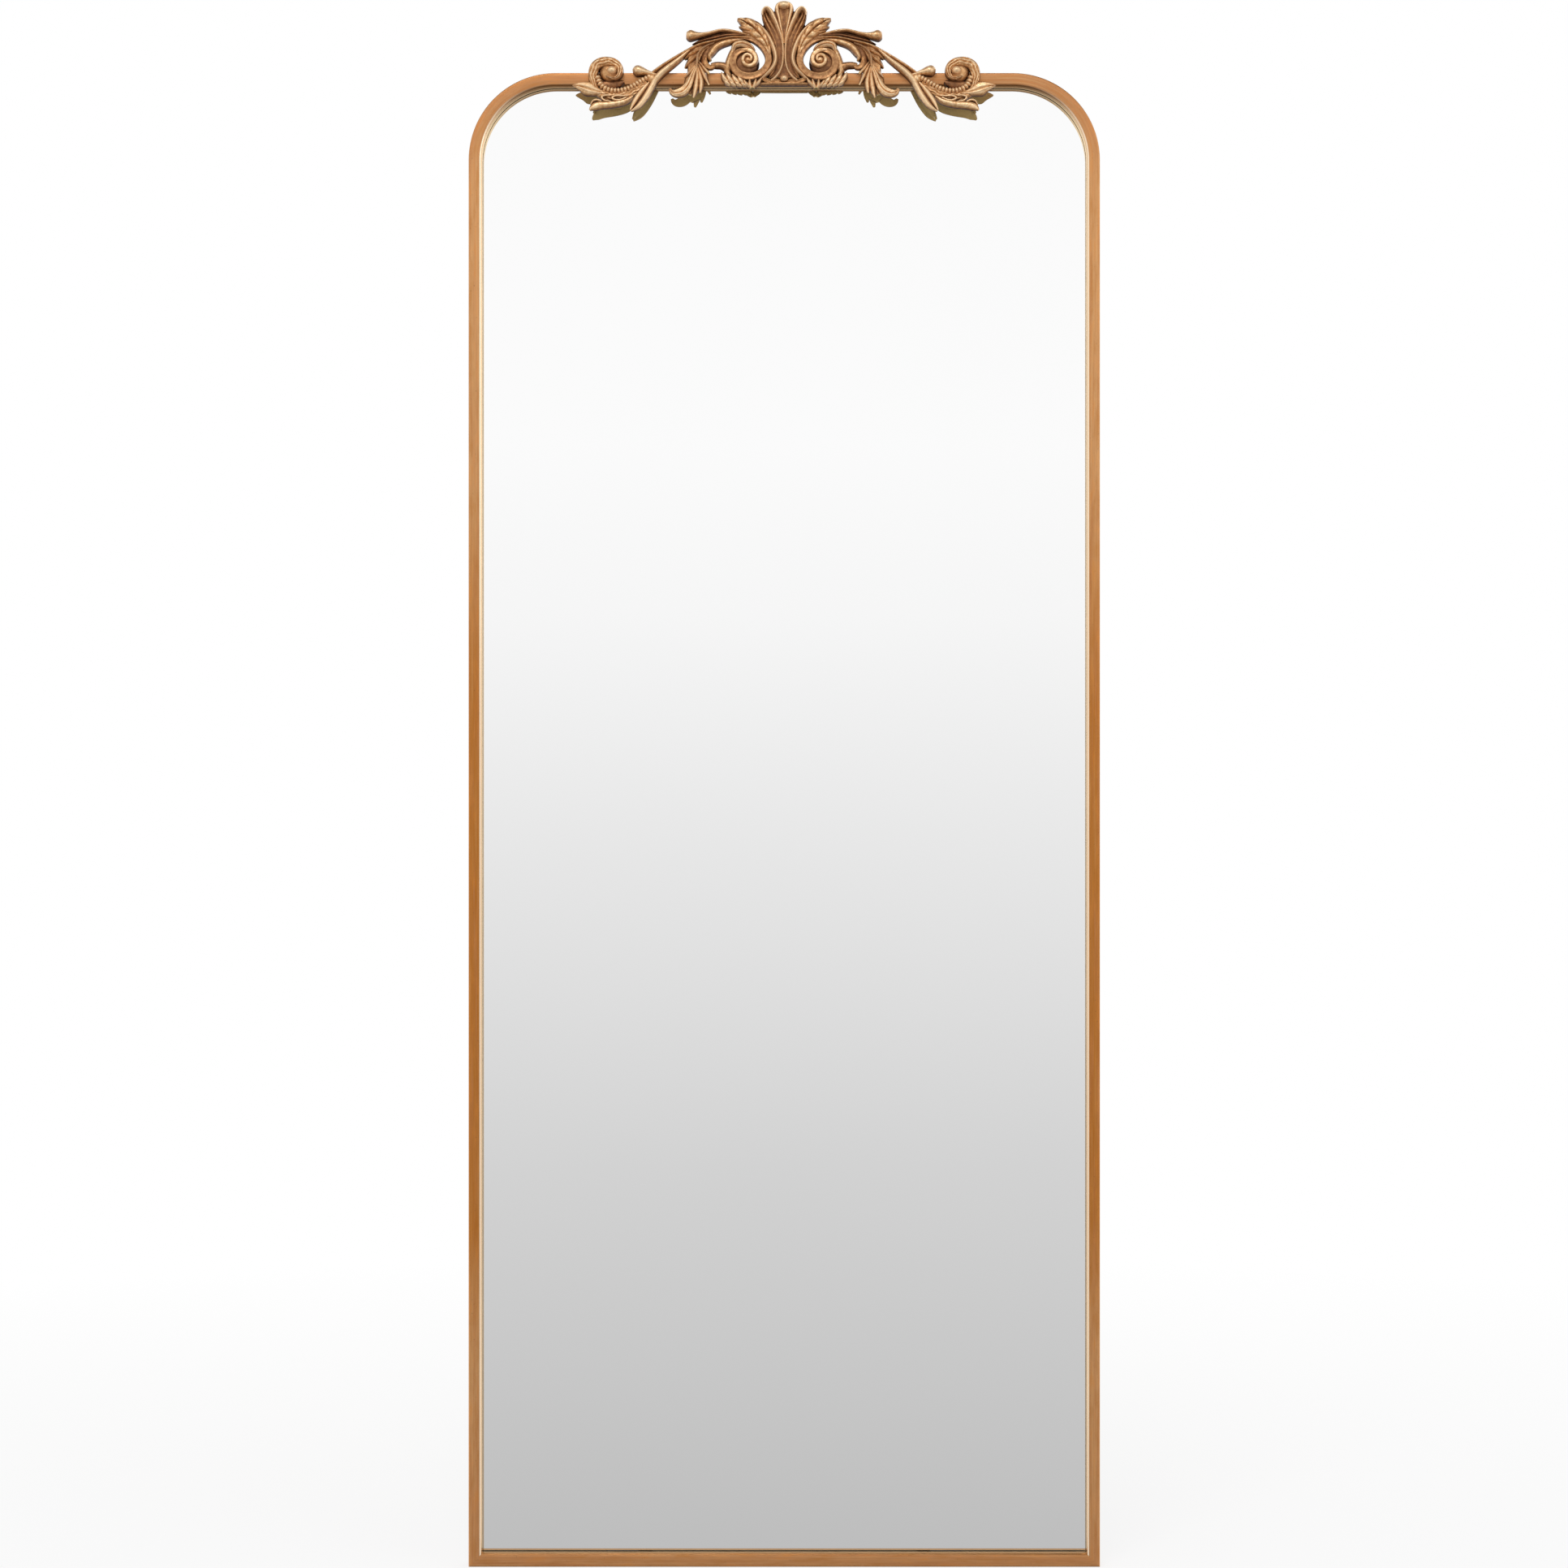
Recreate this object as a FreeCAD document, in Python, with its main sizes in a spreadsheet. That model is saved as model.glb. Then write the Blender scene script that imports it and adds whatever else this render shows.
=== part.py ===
"""Full-length mirror: a bent brass-finished tube frame, a silvered pane on a backing board,
a cast acanthus crest on the head rail, and two ring hangers on the back.

Frame of the part, in millimetres: +X to the viewer's right, +Y towards the wall, +Z up.
The origin is the centre of the bottom rail's underside, half-way through the tube's depth.
"""
import FreeCAD, Part
import math
import os

import Sketcher
from FreeCAD import Placement, Rotation, Vector

doc = FreeCAD.newDocument("full_length_mirror")

# Driving dimensions, in millimetres unless the name says otherwise
DIMENSIONS = {
    # Tube frame
    "frame_width": 778,
    "frame_height": 1841,
    "tube_face": 16,
    "tube_depth": 32,
    "tube_wall": 1.5,
    "tube_edge_radius": 1.6,
    "corner_radius": 107,
    # Pane, tape and board, stacked from the front of the frame towards the wall
    "glass_recess": 17.5,
    "glass_thickness": 4,
    "glass_gap": 1,
    "tape_thickness": 1,
    "tape_width": 25,
    "tape_end_margin": 120,
    "tape_pitch": 160,
    "board_thickness": 6,
    "board_gap": 1.5,
    "packer_length": 40,
    "packer_spacing": 400,
    # Welded tabs that carry the board, and their screws
    "tab_length": 30,
    "tab_reach": 14,
    "tab_thickness": 2,
    "tab_hole": 4.4,
    "tab_inset_side": 240,
    "tab_inset_end": 210,
    "board_screw_shank": 3.5,
    "board_screw_length": 6.5,
    "board_screw_head": 7,
    "board_screw_head_height": 1.4,
    # Ring hangers, on plates welded inside the stiles
    "hanger_drop": 330,
    "plate_width": 30,
    "plate_height": 70,
    "plate_thickness": 3,
    "strap_width": 12,
    "strap_thickness": 1.2,
    "strap_length": 50,
    "strap_screw_first": 24,
    "strap_screw_pitch": 18,
    "ring_wire": 3.2,
    "ring_width": 22,
    "ring_side": 4,
    "ring_bend": 3,
    "eye_clearance": 0.08,
    "hanger_screw_shank": 3.9,
    "hanger_screw_length": 4,
    "hanger_screw_head": 7.4,
    "hanger_screw_head_height": 1.8,
    # Wall bumpers
    "bumper_diameter": 12,
    "bumper_height": 7,
    "bumper_inset": 60,
    # Crest casting and its screws
    "crest_width": 520,
    "crest_height": 136.7,
    "crest_drop": 0.8,
    "crest_relief": 16,
    "crest_screw_shank": 5,
    "crest_screw_bite": 7,
    "crest_screw_head": 9.5,
    "crest_screw_head_height": 3,
    "crest_screw_inner": 43,
    "crest_screw_outer": 162,
    # Clearance round every screw in its hole, on the radius
    "screw_clearance": 0.1,
}

sheet = doc.addObject("Spreadsheet::Sheet", "dims")
for row, (alias, value) in enumerate(DIMENSIONS.items(), start=1):
    sheet.set(f"A{row}", alias)
    sheet.set(f"B{row}", str(value))
    sheet.setAlias(f"B{row}", alias)
doc.recompute()


def size(alias):
    """The value of a driving dimension, for shapes that are worked out here."""
    return float(sheet.get(alias))


def d(expression):
    """An expression with each driving dimension read from the sheet: names are written with a leading #."""
    return expression.replace("#", "dims.")


# Places that several pieces share, as expressions on the sheet
FRONT = "(-#tube_depth / 2)"
BACK = "(#tube_depth / 2)"
INNER_HALF = "(#frame_width / 2 - #tube_face)"
INNER_TOP = "(#frame_height - #tube_face)"
STILE_CENTRE = "(#frame_width / 2 - #tube_face / 2)"
RAIL_CENTRE = "(#frame_height - #tube_face / 2)"
GLASS_FRONT = f"({FRONT} + #glass_recess)"
GLASS_BACK = f"({GLASS_FRONT} + #glass_thickness)"
BOARD_FRONT = f"({GLASS_BACK} + #tape_thickness)"
BOARD_BACK = f"({BOARD_FRONT} + #board_thickness)"
TAB_BACK = f"({BOARD_BACK} + #tab_thickness)"
BEND_RADIUS = "(#corner_radius - #tube_face / 2)"
HANGER_TOP = "(#frame_height - #hanger_drop)"
EYE_RADIUS = "(#ring_wire / 2 + #eye_clearance)"
HANGER_SIDE = f"({INNER_HALF} - #plate_width / 2)"
PLATE_BACK = f"({BOARD_BACK} + #plate_thickness)"
EYE_AXIS = f"({PLATE_BACK} + #strap_thickness + {EYE_RADIUS})"


def bind(item, **properties):
    """Binds properties to expressions; a double underscore in a name stands for a dot."""
    for name, expression in properties.items():
        item.setExpression(name.replace("__", "."), d(expression))
    return item


def origin_plane(body, role):
    return next(f for f in body.Origin.OriginFeatures if f.Role == role)


def new_body(label):
    body = doc.addObject("PartDesign::Body", label)
    body.Label = label
    return body


def new_sketch(body, name, plane, offset=None):
    """A sketch on one of the body's origin planes, moved along the plane's normal by offset."""
    sketch = body.newObject("Sketcher::SketchObject", name)
    sketch.AttachmentSupport = (origin_plane(body, plane), [""])
    sketch.MapMode = "FlatFace"
    if offset is not None:
        bind(sketch, AttachmentOffset__Base__z=offset)
    return sketch


def line(sketch, start, end):
    return sketch.addGeometry(Part.LineSegment(Vector(*start, 0), Vector(*end, 0)), False)


def arc(sketch, centre, radius, first, last):
    circle = Part.Circle(Vector(*centre, 0), Vector(0, 0, 1), radius)
    return sketch.addGeometry(Part.ArcOfCircle(circle, math.radians(first), math.radians(last)), False)


def dimension(sketch, name, constraint, expression):
    """Adds a dimensional constraint and binds it to the sheet."""
    index = sketch.addConstraint(constraint)
    sketch.renameConstraint(index, name)
    bind(sketch, **{f"Constraints__{name}": expression})
    return index


def rounded_rectangle(sketch, prefix, start, centre_x, width, height, radius):
    """A rectangle with four equal round corners, centred on the sketch's X axis.

    start gives the first values of the middle, the two half sizes and the corner radius; the expressions
    then hold it to the sheet.
    """
    middle, half_x, half_y, round_by = start
    low_x, high_x = middle - half_x, middle + half_x
    right = line(sketch, (high_x, -half_y + round_by), (high_x, half_y - round_by))
    upper_right = arc(sketch, (high_x - round_by, half_y - round_by), round_by, 0, 90)
    top = line(sketch, (high_x - round_by, half_y), (low_x + round_by, half_y))
    upper_left = arc(sketch, (low_x + round_by, half_y - round_by), round_by, 90, 180)
    left = line(sketch, (low_x, half_y - round_by), (low_x, -half_y + round_by))
    lower_left = arc(sketch, (low_x + round_by, -half_y + round_by), round_by, 180, 270)
    bottom = line(sketch, (low_x + round_by, -half_y), (high_x - round_by, -half_y))
    lower_right = arc(sketch, (high_x - round_by, -half_y + round_by), round_by, 270, 360)
    loop = [right, upper_right, top, upper_left, left, lower_left, bottom, lower_right]
    for first, second in zip(loop, loop[1:] + loop[:1]):
        sketch.addConstraint(Sketcher.Constraint("Tangent", first, 2, second, 1))
    for side in (right, left):
        sketch.addConstraint(Sketcher.Constraint("Vertical", side))
    for side in (top, bottom):
        sketch.addConstraint(Sketcher.Constraint("Horizontal", side))
    for corner in (upper_left, lower_left, lower_right):
        sketch.addConstraint(Sketcher.Constraint("Equal", upper_right, corner))
    for name, constraint, expression in (
        ("radius", Sketcher.Constraint("Radius", upper_right, round_by), radius),
        ("right", Sketcher.Constraint("DistanceX", -1, 1, right, 1, high_x), f"{centre_x} + {width} / 2"),
        ("left", Sketcher.Constraint("DistanceX", -1, 1, left, 1, low_x), f"{centre_x} - {width} / 2"),
        ("top", Sketcher.Constraint("DistanceY", -1, 1, top, 1, half_y), f"{height} / 2"),
        ("bottom", Sketcher.Constraint("DistanceY", -1, 1, bottom, 1, -half_y), f"-{height} / 2"),
    ):
        dimension(sketch, f"{prefix}_{name}", constraint, expression)


def tube_section(sketch, centre_x, middle, swap=False):
    """The hollow section of the frame tube: its face and depth, with a rounded edge and a plain wall."""
    names = ("#tube_depth", "#tube_face") if swap else ("#tube_face", "#tube_depth")
    half_x, half_y = (size(name[1:]) / 2 for name in names)
    wall, edge = size("tube_wall"), size("tube_edge_radius")
    wide, tall = names
    rounded_rectangle(
        sketch, "outer", (middle, half_x, half_y, edge), centre_x, wide, tall, "#tube_edge_radius"
    )
    rounded_rectangle(
        sketch, "bore", (middle, half_x - wall, half_y - wall, edge / 3), centre_x,
        f"({wide} - 2 * #tube_wall)", f"({tall} - 2 * #tube_wall)", "#tube_edge_radius / 3",
    )


def arched_outline(sketch, half_width, bottom, top, radius, closed=True):
    """A tall outline with two round upper corners; an open one stops at its two feet."""
    half, low, high, round_by = 300.0, 10.0, 1500.0, 90.0
    right = line(sketch, (half, low), (half, high - round_by))
    upper_right = arc(sketch, (half - round_by, high - round_by), round_by, 0, 90)
    head = line(sketch, (half - round_by, high), (-half + round_by, high))
    upper_left = arc(sketch, (-half + round_by, high - round_by), round_by, 90, 180)
    left = line(sketch, (-half, high - round_by), (-half, low))
    chain = [right, upper_right, head, upper_left, left]
    for first, second in zip(chain, chain[1:]):
        sketch.addConstraint(Sketcher.Constraint("Tangent", first, 2, second, 1))
    for side in (right, left):
        sketch.addConstraint(Sketcher.Constraint("Vertical", side))
    sketch.addConstraint(Sketcher.Constraint("Horizontal", head))
    sketch.addConstraint(Sketcher.Constraint("Equal", upper_right, upper_left))
    sketch.addConstraint(Sketcher.Constraint("Symmetric", left, 2, right, 1, -2))
    dimension(sketch, "half_width", Sketcher.Constraint("DistanceX", -1, 1, right, 1, half), half_width)
    dimension(sketch, "top", Sketcher.Constraint("DistanceY", -1, 1, head, 1, high), top)
    dimension(sketch, "corner", Sketcher.Constraint("Radius", upper_right, round_by), radius)
    if closed:
        foot = line(sketch, (-half, low), (half, low))
        sketch.addConstraint(Sketcher.Constraint("Coincident", left, 2, foot, 1))
        sketch.addConstraint(Sketcher.Constraint("Coincident", foot, 2, right, 1))
        dimension(sketch, "bottom", Sketcher.Constraint("DistanceY", -1, 1, right, 1, low), bottom)
    else:
        sketch.addConstraint(Sketcher.Constraint("PointOnObject", right, 1, -1))


def mitre_triangles(sketch, keep_above):
    """Two triangles at the bottom corners, on one side of the 45 degree mitre lines."""
    for side, sign in (("right", 1), ("left", -1)):
        outer, inner, rise = sign * 300.0, sign * 284.0, 16.0
        other = (inner, 0.0) if keep_above else (outer, rise)
        corners = [(outer, 0.0), (inner, rise), other]
        edges = [line(sketch, corners[i], corners[(i + 1) % 3]) for i in range(3)]
        for first, second in zip(edges, edges[1:] + edges[:1]):
            sketch.addConstraint(Sketcher.Constraint("Coincident", first, 2, second, 1))
        half = "#frame_width / 2" if sign > 0 else "-#frame_width / 2"
        inside = INNER_HALF if sign > 0 else f"-{INNER_HALF}"
        for name, edge, x, z in (
            ("outer", edges[0], half, "0"),
            ("inner", edges[1], inside, "#tube_face"),
            ("other", edges[2], inside if keep_above else half, "0" if keep_above else "#tube_face"),
        ):
            dimension(
                sketch, f"{side}_{name}_x", Sketcher.Constraint("DistanceX", -1, 1, edge, 1, sign), x
            )
            dimension(
                sketch, f"{side}_{name}_z", Sketcher.Constraint("DistanceY", -1, 1, edge, 1, 1.0), z
            )


def through_pocket(body, name, sketch):
    """Cuts a sketch drawn on the middle plane through the whole depth, both ways."""
    pocket = body.newObject("PartDesign::Pocket", name)
    pocket.Profile = sketch
    pocket.Type = "ThroughAll"
    pocket.Midplane = True
    return pocket


def pad(body, name, sketch, length, midplane=False):
    """A pad along the sketch's normal."""
    feature = body.newObject("PartDesign::Pad", name)
    feature.Profile = sketch
    feature.Midplane = midplane
    bind(feature, Length=length)
    return feature


def circles(sketch, places, diameter, prefix):
    """Round holes of one diameter at places given as pairs of expressions."""
    first = None
    for number, (x, z) in enumerate(places):
        index = sketch.addGeometry(Part.Circle(Vector(10.0 * number, 10.0, 0), Vector(0, 0, 1), 2.0), False)
        name = f"{prefix}_{number}"
        dimension(sketch, name + "_x", Sketcher.Constraint("DistanceX", -1, 1, index, 3, 1.0), x)
        dimension(sketch, name + "_z", Sketcher.Constraint("DistanceY", -1, 1, index, 3, 1.0), z)
        if first is None:
            first = index
            dimension(sketch, prefix + "_size", Sketcher.Constraint("Diameter", index, 4.0), diameter)
        else:
            sketch.addConstraint(Sketcher.Constraint("Equal", first, index))


# Screw places, as pairs of expressions for X and Z
CREST_SCREWS = [
    (f"{sign} * #crest_screw_{reach}", RAIL_CENTRE) for sign in ("-1", "1") for reach in ("outer", "inner")
]
HANGER_SCREWS = [
    (f"{sign} * {HANGER_SIDE}", f"{HANGER_TOP} - #strap_screw_first - {number} * #strap_screw_pitch")
    for sign in ("-1", "1")
    for number in (0, 1)
]
STILE_TABS = 3
END_TABS = 2
HALF_REACH = "#tab_reach / 2"


def tab_places():
    """(side, X, Z) of the middle of each tab: along both stiles, the head rail and the bottom rail."""
    places = []
    for sign in ("-1", "1"):
        for number in range(STILE_TABS):
            span = f"(#frame_height - 2 * #tab_inset_side) / {STILE_TABS - 1}"
            x = f"{sign} * ({INNER_HALF} - {HALF_REACH})"
            places.append(("stile", x, f"#tab_inset_side + {number} * {span}"))
    for number in range(END_TABS):
        x = f"({2 * number - 1}) * (#frame_width / 2 - #tab_inset_end)"
        places.append(("rail", x, f"{INNER_TOP} - {HALF_REACH}"))
        places.append(("rail", x, f"#tube_face + {HALF_REACH}"))
    return places


def make_frame_hoop():
    """One length of tube: both stiles and the head rail, bent at the upper corners, mitred at the feet."""
    body = new_body("frame_hoop")
    path = new_sketch(body, "hoop_path", "XZ_Plane")
    arched_outline(path, STILE_CENTRE, "0", RAIL_CENTRE, BEND_RADIUS, closed=False)
    section = new_sketch(body, "hoop_section", "XY_Plane")
    tube_section(section, STILE_CENTRE, size("frame_width") / 2 - size("tube_face") / 2)
    doc.recompute()
    tube = body.newObject("PartDesign::AdditivePipe", "hoop_tube")
    tube.Profile = section
    tube.Spine = (path, [])
    doc.recompute()
    mitre = new_sketch(body, "hoop_mitre", "XZ_Plane")
    mitre_triangles(mitre, keep_above=True)
    through_pocket(body, "hoop_mitre_cut", mitre)
    crest_holes = new_sketch(body, "crest_hole_places", "XZ_Plane")
    circles(crest_holes, CREST_SCREWS, "#crest_screw_shank + 2 * #screw_clearance", "crest_hole")
    through_pocket(body, "crest_holes", crest_holes)
    return body


def make_bottom_rail():
    """The straight bottom rail, mitred to the two stiles."""
    body = new_body("bottom_rail")
    section = new_sketch(body, "rail_section", "YZ_Plane")
    tube_section(section, "0", 0.0, swap=True)
    bind(section, AttachmentOffset__Base__y="#tube_face / 2")
    pad(body, "rail_tube", section, "#frame_width", midplane=True)
    mitre = new_sketch(body, "rail_mitre", "XZ_Plane")
    mitre_triangles(mitre, keep_above=False)
    through_pocket(body, "rail_mitre_cut", mitre)
    return body


def make_pane(label, gap, front, thickness):
    """A flat sheet that fills the frame's opening, with a gap all round."""
    body = new_body(label)
    outline = new_sketch(body, label + "_outline", "XZ_Plane", f"-({front} + {thickness})")
    arched_outline(
        outline, f"{INNER_HALF} - {gap}", f"#tube_face + {gap}", f"{INNER_TOP} - {gap}",
        f"#corner_radius - #tube_face - {gap}",
    )
    pad(body, label + "_sheet", outline, thickness)
    return body


def primitive(kind, name, x="0", y="0", z="0", turn=None, **sizes):
    """A Part primitive with its sizes and its place bound to the sheet."""
    item = doc.addObject(kind, name)
    if turn is not None:
        item.Placement = Placement(Vector(), turn)
    bind(item, **sizes)
    bind(item, Placement__Base__x=x, Placement__Base__y=y, Placement__Base__z=z)
    return item


def group(label, items):
    """Separate solids that share one node."""
    compound = doc.addObject("Part::Compound", label)
    compound.Label = label
    compound.Links = items
    return compound


def cut(label, base, tools):
    """A piece with holes: the base less every tool."""
    result = doc.addObject("Part::Cut", label)
    result.Label = label
    result.Base = base
    result.Tool = tools[0] if len(tools) == 1 else group(label + "_holes", tools)
    return result


TOWARDS_FRONT = Rotation(Vector(1, 0, 0), 90)


def hole_tool(name, x, z, start, depth, radius):
    """A round cutter that starts at the Y place start and runs towards the front."""
    return primitive(
        "Part::Cylinder", name, x, start, z, TOWARDS_FRONT, Radius=radius, Height=depth
    )


def pan_head_screw(name, x, z, seat, shank, length, head, head_height):
    """A screw driven towards the front: a domed pan head on its seat, and a plain shank with a point."""
    reach = size(length[1:])
    radius = size(shank[1:]) / 2
    head_radius = size(head[1:]) / 2
    rise = size(head_height[1:])
    point = radius
    rim = rise / 2
    crown = head_radius * 0.7
    outline = [
        Vector(0, 0, -reach), Vector(radius, 0, -reach + point), Vector(radius, 0, 0),
        Vector(head_radius, 0, 0), Vector(head_radius, 0, rim),
    ]
    shoulder = Vector((head_radius + crown) / 2, 0, rim + (rise - rim) * 0.7)
    flat_edge, flat_middle = Vector(crown, 0, rise), Vector(0, 0, rise)
    curves = [Part.LineSegment(a, b) for a, b in zip(outline, outline[1:])]
    curves.append(Part.Arc(outline[-1], shoulder, flat_edge))
    curves.append(Part.LineSegment(flat_edge, flat_middle))
    curves.append(Part.LineSegment(flat_middle, outline[0]))
    wire = Part.Wire([curve.toShape() for curve in curves])
    solid = Part.Face(wire).revolve(Vector(), Vector(0, 0, 1), 360)
    item = doc.addObject("Part::Feature", name)
    item.Shape = solid
    item.Placement = Placement(Vector(), Rotation(Vector(1, 0, 0), -90))
    bind(item, Placement__Base__x=x, Placement__Base__y=seat, Placement__Base__z=z)
    return item


def make_board():
    """The backing board, with a pilot hole for each tab screw."""
    sheet_body = make_pane("board_sheet", "#board_gap", BOARD_FRONT, "#board_thickness")
    pilots = [
        hole_tool(
            f"board_pilot_{number}", x, z, f"{BOARD_BACK} + #screw_clearance", "#board_screw_length",
            "#board_screw_shank / 2 + #screw_clearance",
        )
        for number, (_, x, z) in enumerate(tab_places())
    ]
    return cut("backing_board", sheet_body, pilots)


def make_tabs():
    """Flat steel tabs welded to the inside of the tube, behind the board."""
    tabs = []
    for number, (side, x, z) in enumerate(tab_places()):
        along, across = "#tab_length", "#tab_reach"
        wide, tall = (across, along) if side == "stile" else (along, across)
        plate = primitive(
            "Part::Box", f"tab_plate_{number}", f"{x} - {wide} / 2", BOARD_BACK, f"{z} - {tall} / 2",
            Length=wide, Width="#tab_thickness", Height=tall,
        )
        hole = hole_tool(
            f"tab_hole_{number}", x, z, f"{TAB_BACK} + #tab_thickness", "3 * #tab_thickness", "#tab_hole / 2"
        )
        tabs.append(cut(f"tab_{number}", plate, [hole]))
    return group("board_tabs", tabs)


def make_board_screws():
    screws = [
        pan_head_screw(
            f"board_screw_{number}", x, z, TAB_BACK, "#board_screw_shank", "#board_screw_length",
            "#board_screw_head", "#board_screw_head_height",
        )
        for number, (_, x, z) in enumerate(tab_places())
    ]
    return group("board_screws", screws)


def make_tape():
    """Strips of foam tape that bond the pane to the board."""
    count = 4
    strips = [
        primitive(
            "Part::Box", f"tape_{number}", f"({2 * number + 1 - count}) * #tape_pitch / 2 - #tape_width / 2",
            GLASS_BACK, "#tube_face + #tape_end_margin",
            Length="#tape_width", Width="#tape_thickness",
            Height="#frame_height - 2 * #tube_face - 2 * #tape_end_margin",
        )
        for number in range(count)
    ]
    return group("mirror_tape", strips)


def make_packers():
    """Thin packers that the pane's lower edge stands on."""
    packers = [
        primitive(
            "Part::Box", f"packer_{number}", f"({sign}) * #packer_spacing / 2 - #packer_length / 2",
            GLASS_FRONT, "#tube_face",
            Length="#packer_length", Width="#glass_thickness", Height="#glass_gap",
        )
        for number, sign in enumerate(("-1", "1"))
    ]
    return group("glass_packers", packers)


def make_bumpers():
    """Rubber discs at the four corners of the back, which keep the hangers off the wall."""
    places = [
        (f"{sign} * {STILE_CENTRE}", z)
        for sign in ("-1", "1")
        for z in ("#tube_face + #bumper_inset", "#frame_height - #corner_radius - #bumper_inset")
    ]
    discs = [
        primitive(
            "Part::Cone", f"bumper_{number}", x, BACK, z, Rotation(Vector(1, 0, 0), -90),
            Radius1="#bumper_diameter / 2", Radius2="#bumper_diameter / 2 - #bumper_height / 5",
            Height="#bumper_height",
        )
        for number, (x, z) in enumerate(places)
    ]
    return group("wall_bumpers", discs)


def make_hanger_plates():
    """Steel plates welded inside the stiles, each with two tapped holes for a hanger strap."""
    plates = []
    for sign in ("-1", "1"):
        side = "left" if sign == "-1" else "right"
        blank = primitive(
            "Part::Box", side + "_plate_blank", f"{sign} * {HANGER_SIDE} - #plate_width / 2", BOARD_BACK,
            f"{HANGER_TOP} - (#plate_height + #strap_length) / 2",
            Length="#plate_width", Width="#plate_thickness", Height="#plate_height",
        )
        holes = [
            hole_tool(
                f"{side}_plate_hole_{number}", x, z, f"{PLATE_BACK} + #plate_thickness",
                "3 * #plate_thickness", "#hanger_screw_shank / 2 + #screw_clearance",
            )
            for number, (x, z) in enumerate(HANGER_SCREWS)
            if x.startswith(sign + " ")
        ]
        plates.append(cut(side + "_plate", blank, holes))
    return group("hanger_plates", plates)


def make_strap(label, sign):
    """A strip of steel rolled into an eye at its upper end, with two screw holes."""
    body = new_body(label + "_strip")
    thickness, eye = size("strap_thickness"), size("ring_wire") / 2 + size("eye_clearance")
    outer = eye + thickness
    length = size("strap_length")
    profile = new_sketch(body, label + "_profile", "YZ_Plane", f"{sign} * {HANGER_SIDE} - #strap_width / 2")
    bind(profile, AttachmentOffset__Base__x=EYE_AXIS, AttachmentOffset__Base__y=HANGER_TOP)
    back = line(profile, (-outer, 0), (-outer, -length))
    foot = line(profile, (-outer, -length), (-eye, -length))
    face = line(profile, (-eye, -length), (-eye, 0))
    inside = arc(profile, (0, 0), eye, -90, 180)
    lip = line(profile, (0, -eye), (0, -outer))
    outside = arc(profile, (0, 0), outer, -90, 180)
    for first, a, second, b in (
        (back, 2, foot, 1), (foot, 2, face, 1), (inside, 1, lip, 1), (lip, 2, outside, 1),
    ):
        profile.addConstraint(Sketcher.Constraint("Coincident", first, a, second, b))
    profile.addConstraint(Sketcher.Constraint("Tangent", face, 2, inside, 2))
    profile.addConstraint(Sketcher.Constraint("Tangent", back, 1, outside, 2))
    for curve in (inside, outside):
        profile.addConstraint(Sketcher.Constraint("Coincident", curve, 3, -1, 1))
    for side in (back, lip):
        profile.addConstraint(Sketcher.Constraint("Vertical", side))
    profile.addConstraint(Sketcher.Constraint("Horizontal", foot))
    profile.addConstraint(Sketcher.Constraint("PointOnObject", inside, 1, -2))
    dimension(profile, "eye", Sketcher.Constraint("Radius", inside, eye), EYE_RADIUS)
    dimension(
        profile, "outer", Sketcher.Constraint("Radius", outside, outer), f"{EYE_RADIUS} + #strap_thickness"
    )
    dimension(
        profile, "length", Sketcher.Constraint("DistanceY", foot, 1, -1, 1, length), "#strap_length"
    )
    pad(body, label + "_pad", profile, "#strap_width")
    places = [place for place in HANGER_SCREWS if place[0].startswith(sign + " ")]
    holes = [
        hole_tool(
            f"{label}_hole_{number}", x, z, f"{PLATE_BACK} + 2 * #strap_thickness", "3 * #strap_thickness",
            "#hanger_screw_shank / 2 + #screw_clearance",
        )
        for number, (x, z) in enumerate(places)
    ]
    return cut(label, body, holes)


def make_ring(label, sign):
    """A D-shaped ring of round wire: its straight bar turns in the strap's eye, and its bow hangs down."""
    half, bend, side = size("ring_width") / 2, size("ring_bend"), size("ring_side")
    wire_radius = size("ring_wire") / 2
    middle = bend * (1 - math.sqrt(0.5))

    def at(x, z):
        return Vector(x, 0, z)

    edges = [
        Part.LineSegment(at(-half + bend, 0), at(half - bend, 0)),
        Part.Arc(at(half - bend, 0), at(half - middle, -middle), at(half, -bend)),
        Part.LineSegment(at(half, -bend), at(half, -bend - side)),
        Part.Arc(at(half, -bend - side), at(0, -bend - side - half), at(-half, -bend - side)),
        Part.LineSegment(at(-half, -bend - side), at(-half, -bend)),
        Part.Arc(at(-half, -bend), at(-half + middle, -middle), at(-half + bend, 0)),
    ]
    path = Part.Wire([edge.toShape() for edge in edges])
    section = Part.Wire([Part.Circle(at(-half + bend, 0), Vector(1, 0, 0), wire_radius).toShape()])
    ring = doc.addObject("Part::Feature", label)
    ring.Label = label
    ring.Shape = path.makePipeShell([section], True, False)
    bind(
        ring, Placement__Base__x=f"{sign} * {HANGER_SIDE}", Placement__Base__y=EYE_AXIS,
        Placement__Base__z=HANGER_TOP,
    )
    return ring


def make_hanger_screws():
    screws = [
        pan_head_screw(
            f"hanger_screw_{number}", x, z, f"{PLATE_BACK} + #strap_thickness", "#hanger_screw_shank",
            "#hanger_screw_length", "#hanger_screw_head", "#hanger_screw_head_height",
        )
        for number, (x, z) in enumerate(HANGER_SCREWS)
    ]
    return group("hanger_screws", screws)


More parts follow.
